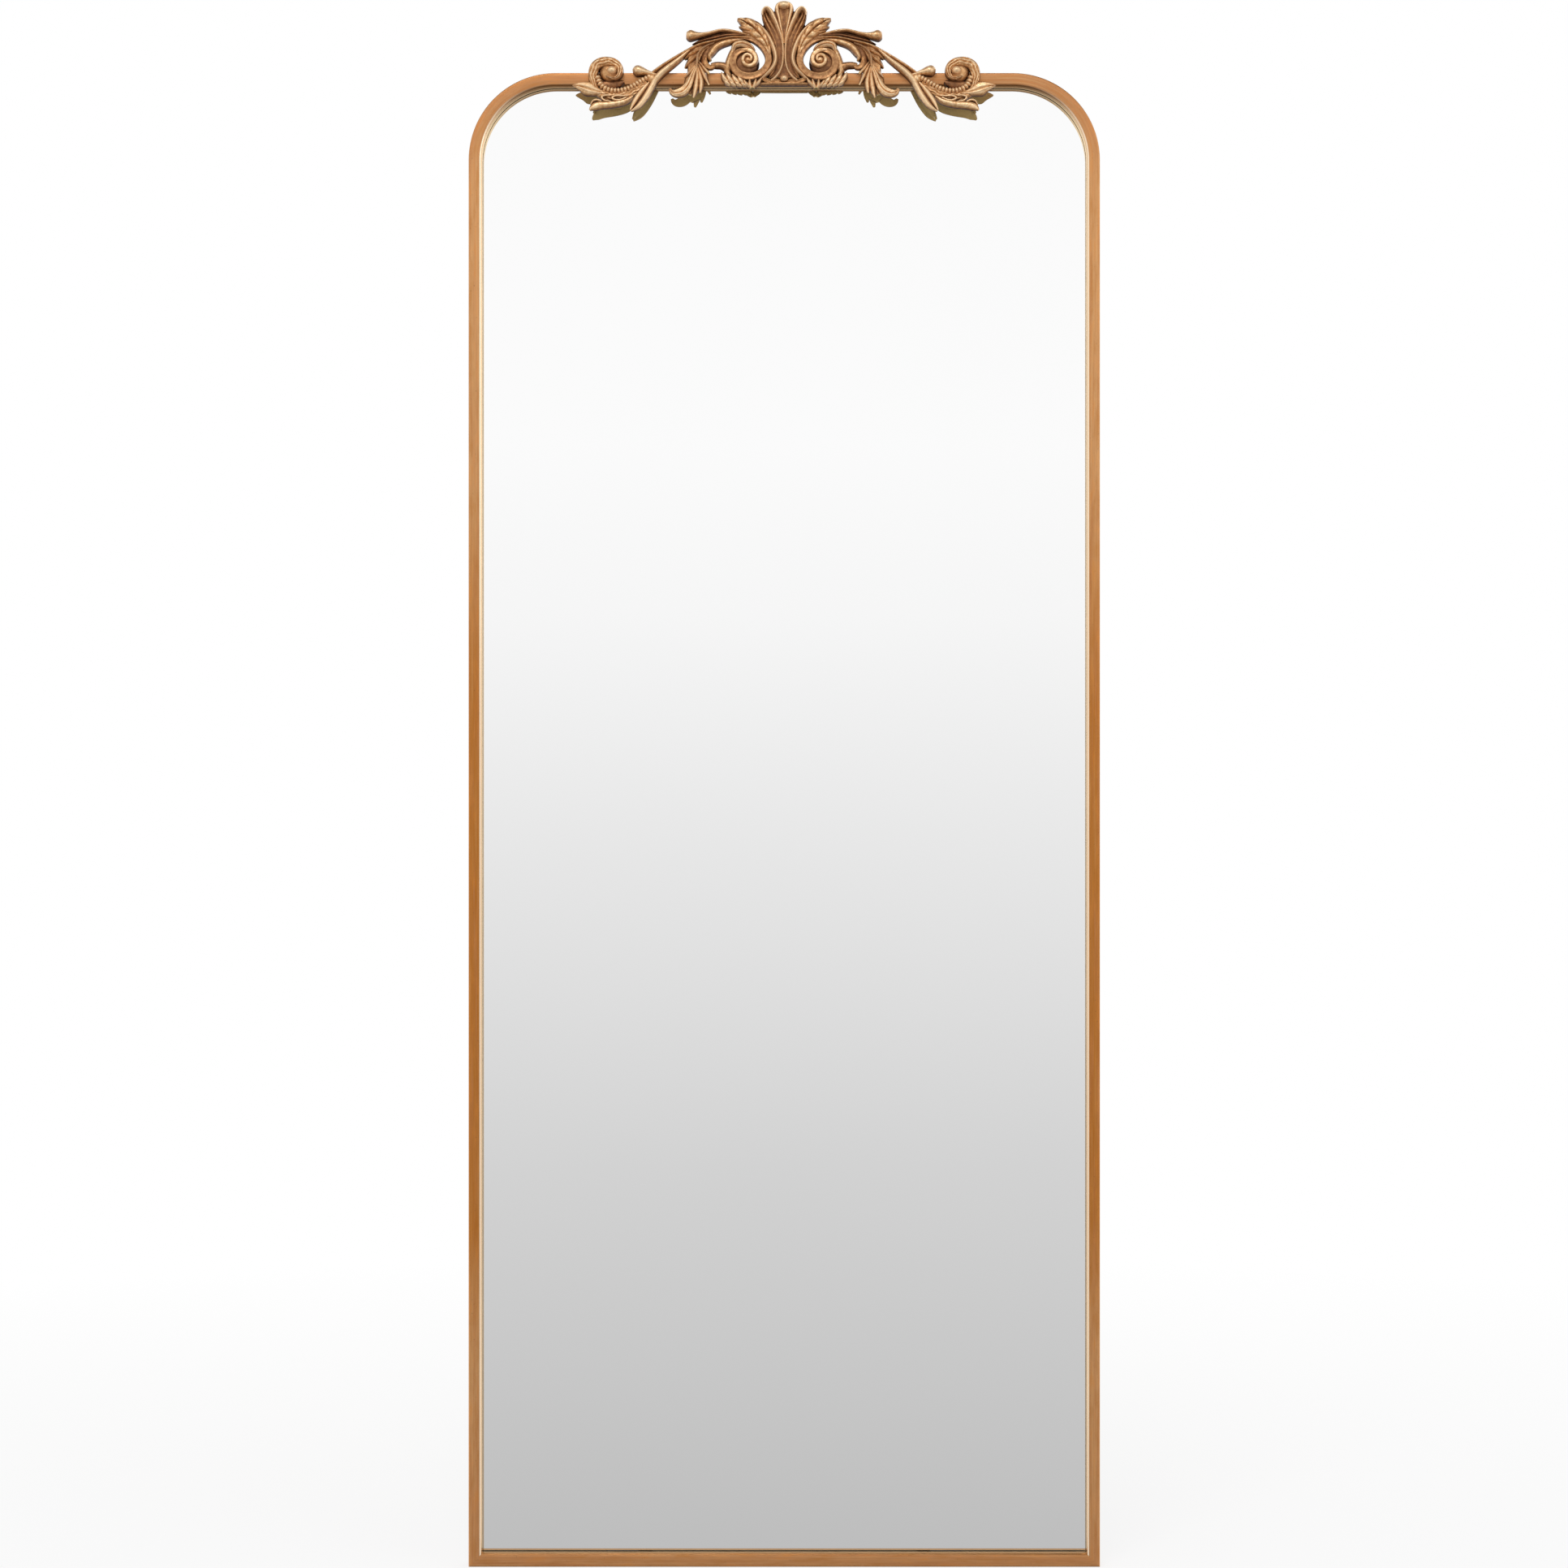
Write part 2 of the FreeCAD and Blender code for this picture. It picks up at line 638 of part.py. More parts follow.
def make_crest_screws():
    screws = []
    for number, (x, z) in enumerate(CREST_SCREWS):
        shank = primitive(
            "Part::Cylinder", f"crest_shank_{number}", x, BACK, z, TOWARDS_FRONT,
            Radius="#crest_screw_shank / 2", Height="#tube_depth + #crest_screw_bite",
        )
        head = primitive(
            "Part::Cone", f"crest_head_{number}", x, BACK, z, Rotation(Vector(1, 0, 0), -90),
            Radius1="#crest_screw_head / 2", Radius2="#crest_screw_head * 0.35",
            Height="#crest_screw_head_height",
        )
        screw = doc.addObject("Part::Fuse", f"crest_screw_{number}")
        screw.Base, screw.Tool = shank, head
        screws.append(screw)
    return group("crest_screws", screws)


# Crest drawing: stations along the middle line of each lobe of the left half, as
# (out from the middle, up from the rail's centre line, width, rise).
# Out, up and width are millimetres on a crest of the drawn size; rise is a share of crest_relief.
DRAWN_WIDTH = 520.0
DRAWN_HEIGHT = 139.5
SIDE_LOBES = {
    "side_lobe": [
        (25, 89, 4, 0.75), (23, 84, 12, 0.9), (18, 74, 13, 0.9), (12.5, 62, 12, 0.85), (8.5, 50, 10, 0.8),
        (6.5, 38, 8, 0.75), (5.5, 26, 8, 0.7), (6.5, 15, 8, 0.65), (10, 6, 8, 0.6), (17, 0, 7, 0.5),
    ],
    "great_scroll": [
        (59, 73, 3, 0.5), (53, 71, 12, 0.65), (43, 67.5, 19, 0.75), (33, 61.5, 21, 0.8), (24, 51, 18, 0.8),
        (18, 39, 13, 0.8), (15.5, 27.5, 12, 0.8), (17, 17.5, 11.5, 0.8), (22.5, 9, 11, 0.8),
        (31, 4, 11, 0.8), (42, 2.5, 11, 0.8), (53, 5, 11, 0.8), (60.5, 12, 11, 0.8), (62.5, 21, 10.5, 0.8),
        (59.5, 29.5, 9, 0.8), (52.5, 33.5, 7.5, 0.8), (45, 32, 6.5, 0.8), (41, 26.5, 5.5, 0.8),
    ],
    "scroll_bud": [(42, 35.5, 5, 0.6), (49, 41.5, 10, 0.75), (57, 42.5, 10.5, 0.8), (63, 38.5, 5, 0.6)],
    "bud_web": [(39, 48, 4, 0.4), (48, 47.5, 11, 0.45), (60, 47, 10, 0.45), (68, 44, 8, 0.4)],
    "upper_arch": [
        (43, 57, 9, 0.5), (60, 59, 9, 0.55), (73, 60, 8, 0.55), (85, 58.5, 8, 0.6), (97, 55, 8.5, 0.65),
        (107, 54, 10.5, 0.75), (115, 55, 14, 0.8), (120, 56, 12, 0.6),
    ],
    "long_stem": [
        (33, 50, 6, 0.5), (46, 53, 8, 0.6), (62, 54, 9, 0.65), (78, 52, 9, 0.65), (93, 48.5, 9, 0.65),
        (106, 43, 11, 0.7), (119.5, 34, 12.5, 0.75), (134.5, 23.5, 14, 0.75), (148.5, 13, 15, 0.75),
        (160, 3, 14, 0.75), (167, -7, 12, 0.7),
    ],
    "pod": [
        (164, -3, 9, 0.65), (169, -11, 14, 0.75), (175.5, -21, 15, 0.7), (182.5, -32, 11, 0.6),
        (189.5, -41.5, 1.5, 0.3),
    ],
    "sprout": [
        (158, 6, 6, 0.6), (167, 8, 9, 0.65), (176, 10.5, 13, 0.7), (182, 12.5, 14, 0.6), (185, 13.5, 9, 0.45),
    ],
    "bead_string": [
        (166, 0, 5, 0.5), (177, -4, 5, 0.55), (186, -9, 5.5, 0.55), (195, -12.5, 5.5, 0.55),
        (205, -14.5, 5.5, 0.55), (215, -14, 5.5, 0.55), (223, -9.5, 5.5, 0.55), (229, -2, 5.5, 0.55),
    ],
    "garland_body": [
        (169, -4, 11, 0.35), (183, -12.5, 14, 0.45), (195, -19, 14, 0.5), (208, -21, 15, 0.5),
        (221, -19, 14, 0.5), (231, -15, 9, 0.4),
    ],
    "snail": [
        (224, -16, 9, 0.6), (231.5, -7, 12, 0.7), (234.5, 3, 12.5, 0.75), (232.5, 13, 12, 0.8),
        (226, 19.5, 11, 0.8), (217, 21.5, 10, 0.8), (208.5, 18, 9.5, 0.8), (203.5, 10, 8.5, 0.8),
        (205, 3, 7, 0.75), (211, 0, 6, 0.7),
    ],
    "outer_leaf": [
        (221, -15, 8, 0.5), (231, -14.5, 15, 0.55), (243, -13, 17, 0.5), (253, -10.5, 12, 0.4),
        (260, -9.5, 2, 0.2),
    ],
    "lower_leaf": [
        (183, -20, 9, 0.5), (198, -26.5, 14, 0.55), (210, -30.5, 13.5, 0.55), (222, -32.5, 13, 0.5),
        (232, -36, 12, 0.45), (239, -40, 5, 0.3),
    ],
    "drop_stem": [
        (62, 51, 7, 0.5), (79, 47, 11, 0.6), (92, 40, 13, 0.7), (101, 31, 15, 0.75), (107, 19, 14, 0.8),
        (110, 8, 12, 0.7),
    ],
    "drop_main": [
        (107, 20, 12, 0.7), (111, 6, 19, 0.8), (116, -5.5, 21, 0.8), (123, -14.5, 19, 0.75),
        (131.5, -19.5, 15, 0.7), (140.5, -19, 8, 0.45),
    ],
    "drop_right": [(108, 16, 8, 0.55), (103, 5, 16, 0.65), (99, -3, 14, 0.6), (96, -10, 4, 0.35)],
    "drop_middle": [(109, 8, 10, 0.5), (108.5, -5, 14, 0.55), (110, -16, 13, 0.55), (113.5, -26, 4, 0.35)],
    "drop_left": [(110, 38, 18, 0.55), (116, 25, 15, 0.6), (120.5, 11, 10, 0.55), (123, 1, 3, 0.35)],
    "inner_curl": [
        (68, 46, 5, 0.5), (80, 41, 8, 0.6), (89.5, 33.5, 9, 0.65), (94.5, 25, 9, 0.65), (93.5, 17, 9, 0.6),
        (87, 14, 7, 0.55), (82, 17, 3, 0.4),
    ],
    "bridge": [(92, 17, 5, 0.35), (84, 18.5, 8, 0.45), (76, 18.5, 8, 0.45), (64, 17, 7, 0.45)],
    "base_leaf": [
        (77, 9.5, 3, 0.3), (71, 3, 8, 0.45), (60, -1.5, 9, 0.5), (49, -5.5, 11, 0.55), (38, -7, 11, 0.55),
        (27, -3, 7, 0.4),
    ],
}
MIDDLE_LOBES = {
    "middle_lobe": [
        (0, 89, 17, 0.85), (0, 80, 17, 0.9), (0, 70, 13.5, 0.85), (0, 58, 10, 0.75), (0, 44, 7, 0.65),
        (0, 30, 5.5, 0.55), (0, 16, 5, 0.5),
    ],
    "palmette_web": [
        (0, 86, 22, 0.4), (0, 78, 37, 0.45), (0, 68, 50, 0.45), (0, 56, 54, 0.45), (0, 40, 44, 0.45),
        (0, 22, 36, 0.4), (0, 4, 46, 0.4),
    ],
    "base_bar": [
        (60, 0, 8, 0.5), (45, 0, 11, 0.65), (25, -1, 12, 0.65), (0, -1.5, 13, 0.65), (-25, -1, 12, 0.65),
        (-45, 0, 11, 0.65), (-60, 0, 8, 0.5),
    ],
}
# Round bosses: the eyes and floors of the two scrolls, and the knob at the top; (out, up, radius, rise)
SIDE_BOSSES = {
    "scroll_eye": (48, 22.5, 10.5, 0.9),
    "scroll_floor": (49, 20, 15.5, 0.4),
    "snail_eye": (216, 10, 10, 1.0),
    "snail_floor": (218, 6, 15.5, 0.4),
}
MIDDLE_BOSSES = {"top_knob": (0, 87, 11, 1.0)}
# How far each lobe runs behind the flat back before it is cut off
CUT_AWAY = 3.0


def lobe_section(middle, across, half_width, rise):
    """A closed section of a lobe: a rounded front that rises to a ridge, and a shallow back to cut off."""
    shoulder, lift = 0.72, 0.66
    ring = [
        (0, -1), (-shoulder, -lift), (-1, 0), (-shoulder, lift), (0, 1), (shoulder, lift), (1, 0),
        (shoulder, -lift),
    ]
    points = [
        middle + across * (side * half_width) + Vector(0, -height * (rise if height > 0 else CUT_AWAY), 0)
        for side, height in ring
    ]
    curve = Part.BSplineCurve()
    even_steps = [float(step) for step in range(len(points) + 1)]
    curve.interpolate(points, PeriodicFlag=True, Parameters=even_steps)
    return Part.Wire([curve.toShape()])


def crest_place(out, up, side):
    """A point of the drawing on the crest's back plane, at the sheet's width and height."""
    return Vector(
        side * out * size("crest_width") / DRAWN_WIDTH, 0, up * size("crest_height") / DRAWN_HEIGHT
    )


def crest_lobe(name, stations, side):
    """A lobe lofted through its stations, with each section square to the smooth path of their middles."""
    across_scale = size("crest_width") / DRAWN_WIDTH
    middles = [crest_place(out, up, side) for out, up, _, _ in stations]
    path = Part.BSplineCurve()
    path.interpolate(middles)
    sections = []
    for middle, (_, _, width, rise) in zip(middles, stations):
        along = path.tangent(path.parameter(middle))[0]
        across = Vector(along.z, 0, -along.x)
        sections.append(lobe_section(middle, across, width * across_scale / 2, rise * size("crest_relief")))
    lobe = Part.makeLoft(sections, True, False)
    if not lobe.isValid() or lobe.Volume <= 0:
        raise RuntimeError(f"crest lobe {name} is not a sound solid")
    return lobe


def crest_boss(out, up, radius, rise, side):
    """A round boss: a domed outline turned about its own axis."""
    reach = radius * size("crest_width") / DRAWN_WIDTH
    height = rise * size("crest_relief")
    edge, crown = Vector(reach, 0, 0), Vector(0, -height, 0)
    rim, back = Vector(reach, CUT_AWAY, 0), Vector(0, CUT_AWAY, 0)
    dome = Part.BSplineCurve()
    dome.interpolate([edge, Vector(reach * 0.72, -height * 0.7, 0), crown])
    sides = [Part.LineSegment(a, b) for a, b in ((crown, back), (back, rim), (rim, edge))]
    outline = Part.Wire([curve.toShape() for curve in [dome] + sides])
    boss = Part.Face(outline).revolve(Vector(), Vector(0, 1, 0), 360)
    boss.translate(crest_place(out, up, side))
    return boss


def flat_backed(lobes, bosses, side):
    """Lobes and bosses of one part of the drawing, each cut flat at the back."""
    reach = size("crest_width") + size("crest_height")
    behind = Part.makeBox(2 * reach, 2 * reach, 2 * reach, Vector(-reach, 0, -reach))
    solids = [crest_lobe(name, stations, side) for name, stations in lobes.items()]
    solids += [crest_boss(*place, side) for place in bosses.values()]
    return [solid.cut(behind) for solid in solids]


def joined(solids):
    """One solid from many that overlap; another tolerance is tried where a join loses some of them."""
    least = 0.6 * sum(solid.Volume for solid in solids)
    for tolerance in (0.001, 0.0, 0.003):
        body = solids[0].multiFuse(solids[1:], tolerance)
        if len(body.Solids) != 1 or body.Volume < least:
            continue
        body = body.removeSplitter()
        if body.isValid():
            return body
    raise RuntimeError("the lobes of the crest did not join to one solid")


def make_crest():
    """The cast crest: lobes and scrolls fused to one solid, flat at the back, with blind screw holes."""
    solids = flat_backed(MIDDLE_LOBES, MIDDLE_BOSSES, 1)
    for side in (-1, 1):
        solids += flat_backed(SIDE_LOBES, SIDE_BOSSES, side)
    body = joined(solids)
    hole_radius = size("crest_screw_shank") / 2 + size("screw_clearance")
    hole_depth = size("crest_screw_bite") + 2 * size("screw_clearance")
    holes = [
        Part.makeCylinder(
            hole_radius, hole_depth, Vector(side * size(place), 0, size("crest_drop")), Vector(0, -1, 0)
        )
        for side in (-1, 1)
        for place in ("crest_screw_inner", "crest_screw_outer")
    ]
    body = body.cut(holes)
    if len(body.Solids) != 1:
        raise RuntimeError(f"the crest came out as {len(body.Solids)} solids")
    crest = doc.addObject("Part::Feature", "crest_casting")
    crest.Label = "crest_casting"
    crest.Shape = body.Solids[0]
    bind(crest, Placement__Base__y=FRONT, Placement__Base__z=f"{RAIL_CENTRE} - #crest_drop")
    return crest


pieces = [
    make_frame_hoop(),
    make_bottom_rail(),
    make_pane("mirror_pane", "#glass_gap", GLASS_FRONT, "#glass_thickness"),
    make_tape(),
    make_board(),
    make_packers(),
    make_tabs(),
    make_board_screws(),
    make_crest_screws(),
    make_hanger_plates(),
    make_strap("left_hanger_strap", "-1"),
    make_strap("right_hanger_strap", "1"),
    make_ring("left_hanger_ring", "-1"),
    make_ring("right_hanger_ring", "1"),
    make_hanger_screws(),
    make_bumpers(),
    make_crest(),
]
doc.recompute()

for item in doc.Objects:
    if set(item.State) & {"Invalid", "Error"}:
        raise RuntimeError(f"{item.Label} failed to build: {item.State}")

os.makedirs("parts", exist_ok=True)
for piece in pieces:
    shape = piece.Shape
    if shape.isNull() or not shape.isValid():
        raise RuntimeError(f"{piece.Label} has no valid shape")
    shape.exportStep(f"parts/{piece.Label}.step")
    print(piece.Label, len(shape.Solids), round(shape.Volume))
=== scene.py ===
"""Full-length mirror in an antique brass frame with a cast leaf crest.

The CAD model gives the frame; this script dresses it for the photograph's view.
Lengths are metres, +Z is up and the glass faces -Y.  The crest is drawn in
millimetres on a flat sheet: out from the middle line, and up from the head rail's middle.
"""

import bmesh
import bpy
import numpy as np
from bpy.props import FloatProperty, FloatVectorProperty, IntProperty, PointerProperty
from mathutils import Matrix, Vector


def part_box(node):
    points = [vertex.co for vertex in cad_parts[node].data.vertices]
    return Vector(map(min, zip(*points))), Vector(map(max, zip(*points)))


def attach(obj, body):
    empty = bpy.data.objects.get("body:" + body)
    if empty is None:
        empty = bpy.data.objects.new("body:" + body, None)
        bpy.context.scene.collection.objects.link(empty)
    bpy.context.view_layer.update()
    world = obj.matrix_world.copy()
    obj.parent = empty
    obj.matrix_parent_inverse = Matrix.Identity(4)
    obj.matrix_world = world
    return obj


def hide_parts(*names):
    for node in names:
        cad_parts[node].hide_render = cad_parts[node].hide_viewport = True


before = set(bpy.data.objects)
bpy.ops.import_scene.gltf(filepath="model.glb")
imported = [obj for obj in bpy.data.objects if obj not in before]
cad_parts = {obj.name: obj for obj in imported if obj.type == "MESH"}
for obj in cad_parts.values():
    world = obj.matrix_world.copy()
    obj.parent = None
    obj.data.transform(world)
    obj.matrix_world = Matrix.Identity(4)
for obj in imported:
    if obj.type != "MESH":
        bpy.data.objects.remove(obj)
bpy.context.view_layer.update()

bl_info = {
    "name": "Full-Length Mirror",
    "version": (1, 0, 0),
    "blender": (4, 5, 0),
    "location": "3D View > Sidebar > Mirror",
    "description": "Dresses the CAD model of a full-length mirror with a cast crest",
    "category": "Add Mesh",
}

HOOP_LOW, HOOP_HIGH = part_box("frame_hoop")
RAIL_LOW, RAIL_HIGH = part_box("bottom_rail")
PANE_LOW, PANE_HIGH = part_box("mirror_pane")
CREST_LOW, CREST_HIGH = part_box("crest_casting")

MAIN_BODY = "mirror"
TUBE_FACE = RAIL_HIGH.z - RAIL_LOW.z
TUBE_DEPTH = HOOP_HIGH.y - HOOP_LOW.y
GLASS_RECESS = PANE_LOW.y - HOOP_LOW.y
MERGE_DISTANCE = 1e-7

# Points on each round corner of the tube's profile, each bend of the tube and each corner of the glass.
PROFILE_STEPS = 7
BEND_STEPS = 33
PANE_STEPS = 40

# Points on the tube's inner face, from the glass forwards, as shares of the recess.
INNER_SHARES = (1.02, 1.0, 0.84, 0.82, 0.66, 0.56)

# Painted highlight and painted shade round the tube's profile: a bright inner edge on the stiles, also less
# rough as real polish, and dark where the rails' sight edge and the gap at the glass fall in shade. The first
# point's number, and values from it on.
STILE_POLISH_AND_HIGHLIGHT = (16, (1.0, 1.0, 1.0, 1.0, 1.0, 0.5, 0.5, 0.5, 0.8, 1.0))
RAIL_POLISH_AND_HIGHLIGHT = (17, (0.5, 0.5))
STILE_SHADE = (13, (0.5, 0.5, 0.5))
RAIL_SHADE = (13, (1.0, 1.0, 1.0, 1.0, 0.0, 0.0, 0.45, 0.45, 0.45, 0.45, 0.45, 0.45))

# Heights between which a tint of the brass comes in or goes out; the brown at the head is painted shade.
GOLD_COMES = (0.25, 0.43)
GOLD_GOES = (1.08, 1.36)
HEAD_SHADE_COMES = (1.70, 1.82)
COPPER_GOES = (0.02, 0.24)

# Studio
FLOOR_REACH = 9.0
# Lamps: (name, place, turn in degrees, size, power).
LAMPS = (
    ("key_lamp", (-0.5, -2.6, 4.2), (40, 0, -10), 1.4, 52.0),
    ("fill_lamp", (2.6, -2.8, 2.4), (62, 0, 42), 2.4, 14.0),
    ("back_lamp", (0.6, 3.2, 3.0), (-52, 0, 0), 2.6, 40.0),
)
# The wall in front: (share of its height, grey).
FRONT_WALL = ((0.10, 0.52), (0.375, 0.66), (0.625, 0.83), (0.775, 0.94), (0.90, 0.985))
BACK_WALL = 0.66
SIDE_WALLS = 1.1
TOP_AND_FOOT = 0.22

# Crest, in millimetres
ROW_STEP = 1.2
BEAD_STEP = 0.5
LEAST_WIDTH = 0.6
COLUMNS_PER_MM = 1.6
COLUMN_LIMITS = (9, 25)
LEAST_ROWS = 12
# A bead's radius as a share of the spacing, and the bed's rise as a share of the beads'.
BEAD_RADIUS = 1.06
BED_RISE = 0.78
# How sharply the patina and painted crevice shade gather at the foot of a form and of a boss.
FORM_PATINA_AND_SHADE = 1.45
BOSS_PATINA_AND_SHADE = 2.6
# How far a form's back stands forward at its start and at its end.
FLUSH = (0.0, 0.0)
HUNG = (0.0, 0.62)
FRINGE = (0.3, 0.6)

# Crest drawing, one half: (out, up, width, rise), rise as a share of the relief.
HOOD_RIM = (
    (0.6, 44, 2.6, 0.7), (2.3, 56, 3.6, 0.8), (4.6, 67, 4.6, 0.88), (7, 78, 5.4, 0.94),
    (8.7, 86, 6.2, 0.96), (7.8, 92.2, 5.8, 0.86), (4, 95, 5.2, 0.74), (0, 95.7, 5.2, 0.7),
)
SIDE_RIDGE = (
    (26, 80, 3, 0.65), (25.6, 85, 5.6, 0.84), (22, 88, 7.4, 0.94), (17.8, 85.4, 8, 0.97),
    (14.4, 79, 8, 0.98), (10.6, 70.6, 7.4, 0.97), (7, 61, 6.4, 0.94), (3.6, 51, 5.2, 0.9), (2, 40, 5, 0.84),
    (1.9, 27, 5, 0.8), (3.2, 16, 4.8, 0.76), (7, 7.5, 5, 0.7), (12, 1.5, 5.4, 0.64), (17, -2, 5, 0.5),
)
SIDE_FACE = (
    (24.5, 86, 6, 0.6), (23.6, 80, 8.5, 0.64), (19.4, 70.5, 12, 0.62), (13.8, 59.5, 12.5, 0.58),
    (9.4, 48, 10.5, 0.54), (7, 36.5, 9, 0.5), (7.2, 24.5, 8.5, 0.46), (10.2, 13, 8.5, 0.44),
    (14.4, 6.4, 6, 0.42), (18.4, 1.6, 1.2, 0.34),
)
GREAT_LEAF = (
    (57.4, 75, 3, 0.62), (52.8, 73.2, 9.5, 0.74), (46.2, 69.8, 16.5, 0.8), (38.6, 64.5, 21, 0.84),
    (31, 57, 21, 0.84), (24.6, 48.5, 15, 0.8), (20.4, 39.5, 10, 0.72), (18, 31, 5, 0.62),
    (17.2, 23, 1.2, 0.46),
)
LEAF_LOBES = (
    ((38, 60, 6, 0.7), (46.5, 62.6, 7.4, 0.78), (52, 64.4, 5, 0.7), (55.6, 65.6, 1.6, 0.55)),
    ((32, 53.6, 5, 0.68), (41, 57.4, 6.6, 0.76), (47.5, 59.2, 5, 0.68), (51.6, 60.2, 1.6, 0.52)),
)
LEAF_CREASE = ((30, 64.5, 3, 0.84), (25, 58.5, 4, 0.86), (21.4, 51, 4, 0.84), (18.6, 42, 3, 0.8))
SCROLL_RIM = (
    (36, 69, 3.5, 0.78), (28, 63.4, 5.6, 0.9), (21.4, 55, 7, 0.96), (16.2, 45, 7.4, 0.98),
    (12.4, 34.5, 7.4, 0.98), (11, 24.5, 7.2, 0.97), (13.8, 15.6, 6.8, 0.95), (20.4, 7.4, 6, 0.9),
    (27.4, 1, 5, 0.72),
)
SCROLL_BAND = (
    (56, 52.4, 1.6, 0.48), (48, 52, 5.6, 0.52), (38.4, 49.8, 8.6, 0.56), (28.6, 43.4, 9.6, 0.58),
    (21.6, 34, 9.6, 0.62), (19, 24.6, 9.5, 0.66), (21.6, 15.2, 9.5, 0.68), (28.4, 7.6, 10, 0.7),
    (37, 3.6, 10.6, 0.7), (46.4, 3, 11, 0.7), (55.4, 6.4, 11, 0.7), (61.4, 13.4, 10.5, 0.7),
    (63, 21.6, 10, 0.72), (60.2, 29.6, 9, 0.72), (54, 34.6, 8, 0.7), (47, 36, 6, 0.66),
)
EYE_SPIRAL = (
    (55, 36.4, 1.6, 0.56), (50, 36.6, 5, 0.66), (43, 35.2, 7.8, 0.74), (36.4, 29.6, 8, 0.8),
    (35.2, 22.4, 7.4, 0.84), (38.4, 17.2, 6.6, 0.88), (44, 15.8, 6, 0.9), (49.2, 18.6, 5.6, 0.93),
    (50.8, 24, 5.4, 0.95), (48, 28.6, 5.2, 0.97), (43.2, 29, 4.8, 0.98), (40.2, 25.4, 4.6, 1),
    (41.8, 22, 4.2, 1), (44.8, 22.6, 3.4, 1),
)
SCROLL_BUD = (
    (62.4, 34.6, 5, 0.6), (60.8, 40.6, 9, 0.84), (54.8, 43.4, 10.5, 0.9), (47.4, 42.8, 10, 0.82),
    (41.2, 39.8, 8, 0.7), (36.8, 35.6, 4, 0.6),
)
ARCH_TRUMPET = (
    (36, 53.5, 3, 0.4), (50, 57, 4, 0.52), (65.5, 60.3, 5, 0.62), (78, 61, 5, 0.66), (90.4, 57.8, 5.5, 0.7),
    (98.7, 55.8, 6.5, 0.75), (105.3, 54.8, 9, 0.8), (111.9, 54.6, 13.5, 0.86), (117, 55, 14.5, 0.82),
    (120.3, 55.3, 9, 0.58),
)
ARCH_HOLLOW = (
    (34, 52.5, 4, 0.38), (45, 55.2, 7, 0.4), (57, 56, 9, 0.42), (74, 55, 9, 0.42), (86, 52.3, 9, 0.42),
    (98, 49.4, 7.4, 0.42), (106.4, 46.6, 4.4, 0.4), (113, 43.8, 1, 0.36),
)
LONG_STEM = (
    (33, 46, 5, 0.5), (40, 49, 6, 0.56), (49, 50.8, 6.5, 0.6), (61.4, 51.4, 7, 0.64), (74, 49.3, 7, 0.66),
    (86, 46.6, 7, 0.66), (95, 44.3, 7.5, 0.66), (107, 40, 9.5, 0.68), (118, 34, 10, 0.7),
    (132, 25.8, 10, 0.7), (148, 15.6, 10, 0.7), (160, 7, 9.5, 0.68), (169, -0.5, 8, 0.62),
)
STEM_LIGHT = (
    (116, 36.5, 2.5, 0.6), (122, 31, 5, 0.76), (128.5, 25.2, 7, 0.82), (137.6, 18, 8.5, 0.85),
    (147, 10.6, 9.5, 0.86), (155.5, 2.5, 9.5, 0.86), (161.5, -6, 8.5, 0.84),
)
DROP_BODY = (
    (92, 43, 6, 0.45), (100, 40, 10, 0.5), (107, 33, 15, 0.55), (111.5, 23, 16, 0.56),
    (110.5, 12, 18, 0.58), (109.5, 1, 24, 0.6), (112, -8, 24, 0.62), (114.5, -15, 15, 0.64),
    (116, -19.5, 4, 0.64),
)
DROP_SPINE = (
    (86, 45, 3, 0.62), (96, 41, 4, 0.76), (102, 36, 4.6, 0.86), (105.8, 30, 5, 0.92),
    (107, 22.5, 5.6, 0.96), (107.4, 14, 5, 0.92),
)
DROP_LEFT = (
    ((105, 36, 6.2, 0.6), (111, 33.5, 8.8, 0.66), (117.5, 29.5, 7.5, 0.62), (122.5, 25, 2.5, 0.45)),
    ((107, 29, 6.2, 0.62), (113, 24.5, 8.8, 0.68), (118.5, 19, 6.9, 0.64), (122, 14, 2.5, 0.45)),
    ((107.5, 18, 5.6, 0.75), (112, 12.5, 8, 0.82), (117, 6.5, 7.2, 0.78), (122, 1.5, 3, 0.6)),
)
DROP_MAIN = (
    (108, 15, 5, 0.82), (111, 8, 7, 0.88), (113.8, 1, 8.6, 0.9), (117.5, -8, 11, 0.93),
    (123.5, -15.6, 13, 0.95), (131, -19, 11.6, 0.97), (137.5, -18, 7.4, 0.97), (140.4, -13.8, 3, 0.9),
)
DROP_CENTRE = (
    (107.5, 14, 5, 0.78), (107, 4, 8.2, 0.85), (108, -7, 9.5, 0.88), (109.6, -16, 8, 0.88),
    (111.6, -24.5, 2.8, 0.8),
)
DROP_RIGHT = (
    ((106.5, 15, 5, 0.74), (103.5, 4, 8.2, 0.8), (102, -5, 8.8, 0.84), (102.5, -12, 6.8, 0.84),
     (103.6, -18.5, 2.8, 0.76)),
    ((105.5, 18, 4.5, 0.72), (101.5, 11, 6.5, 0.78), (97.8, 3, 6.5, 0.78), (94.8, -3.5, 4.5, 0.72),
     (92.4, -8.4, 2, 0.6)),
    ((104.5, 21, 3.8, 0.68), (100, 15, 5.8, 0.74), (96, 10, 5.2, 0.7), (92, 6.2, 2.2, 0.5)),
)
CURL_STRIP = (
    (48, 50.4, 1.4, 0.36), (56, 49.5, 4.4, 0.5), (64, 47.6, 8, 0.66), (74, 44.8, 9.5, 0.74),
    (83.6, 39.8, 10, 0.8), (89.4, 32.5, 9, 0.84), (92, 26.4, 6, 0.8), (90.4, 23, 3, 0.66),
)
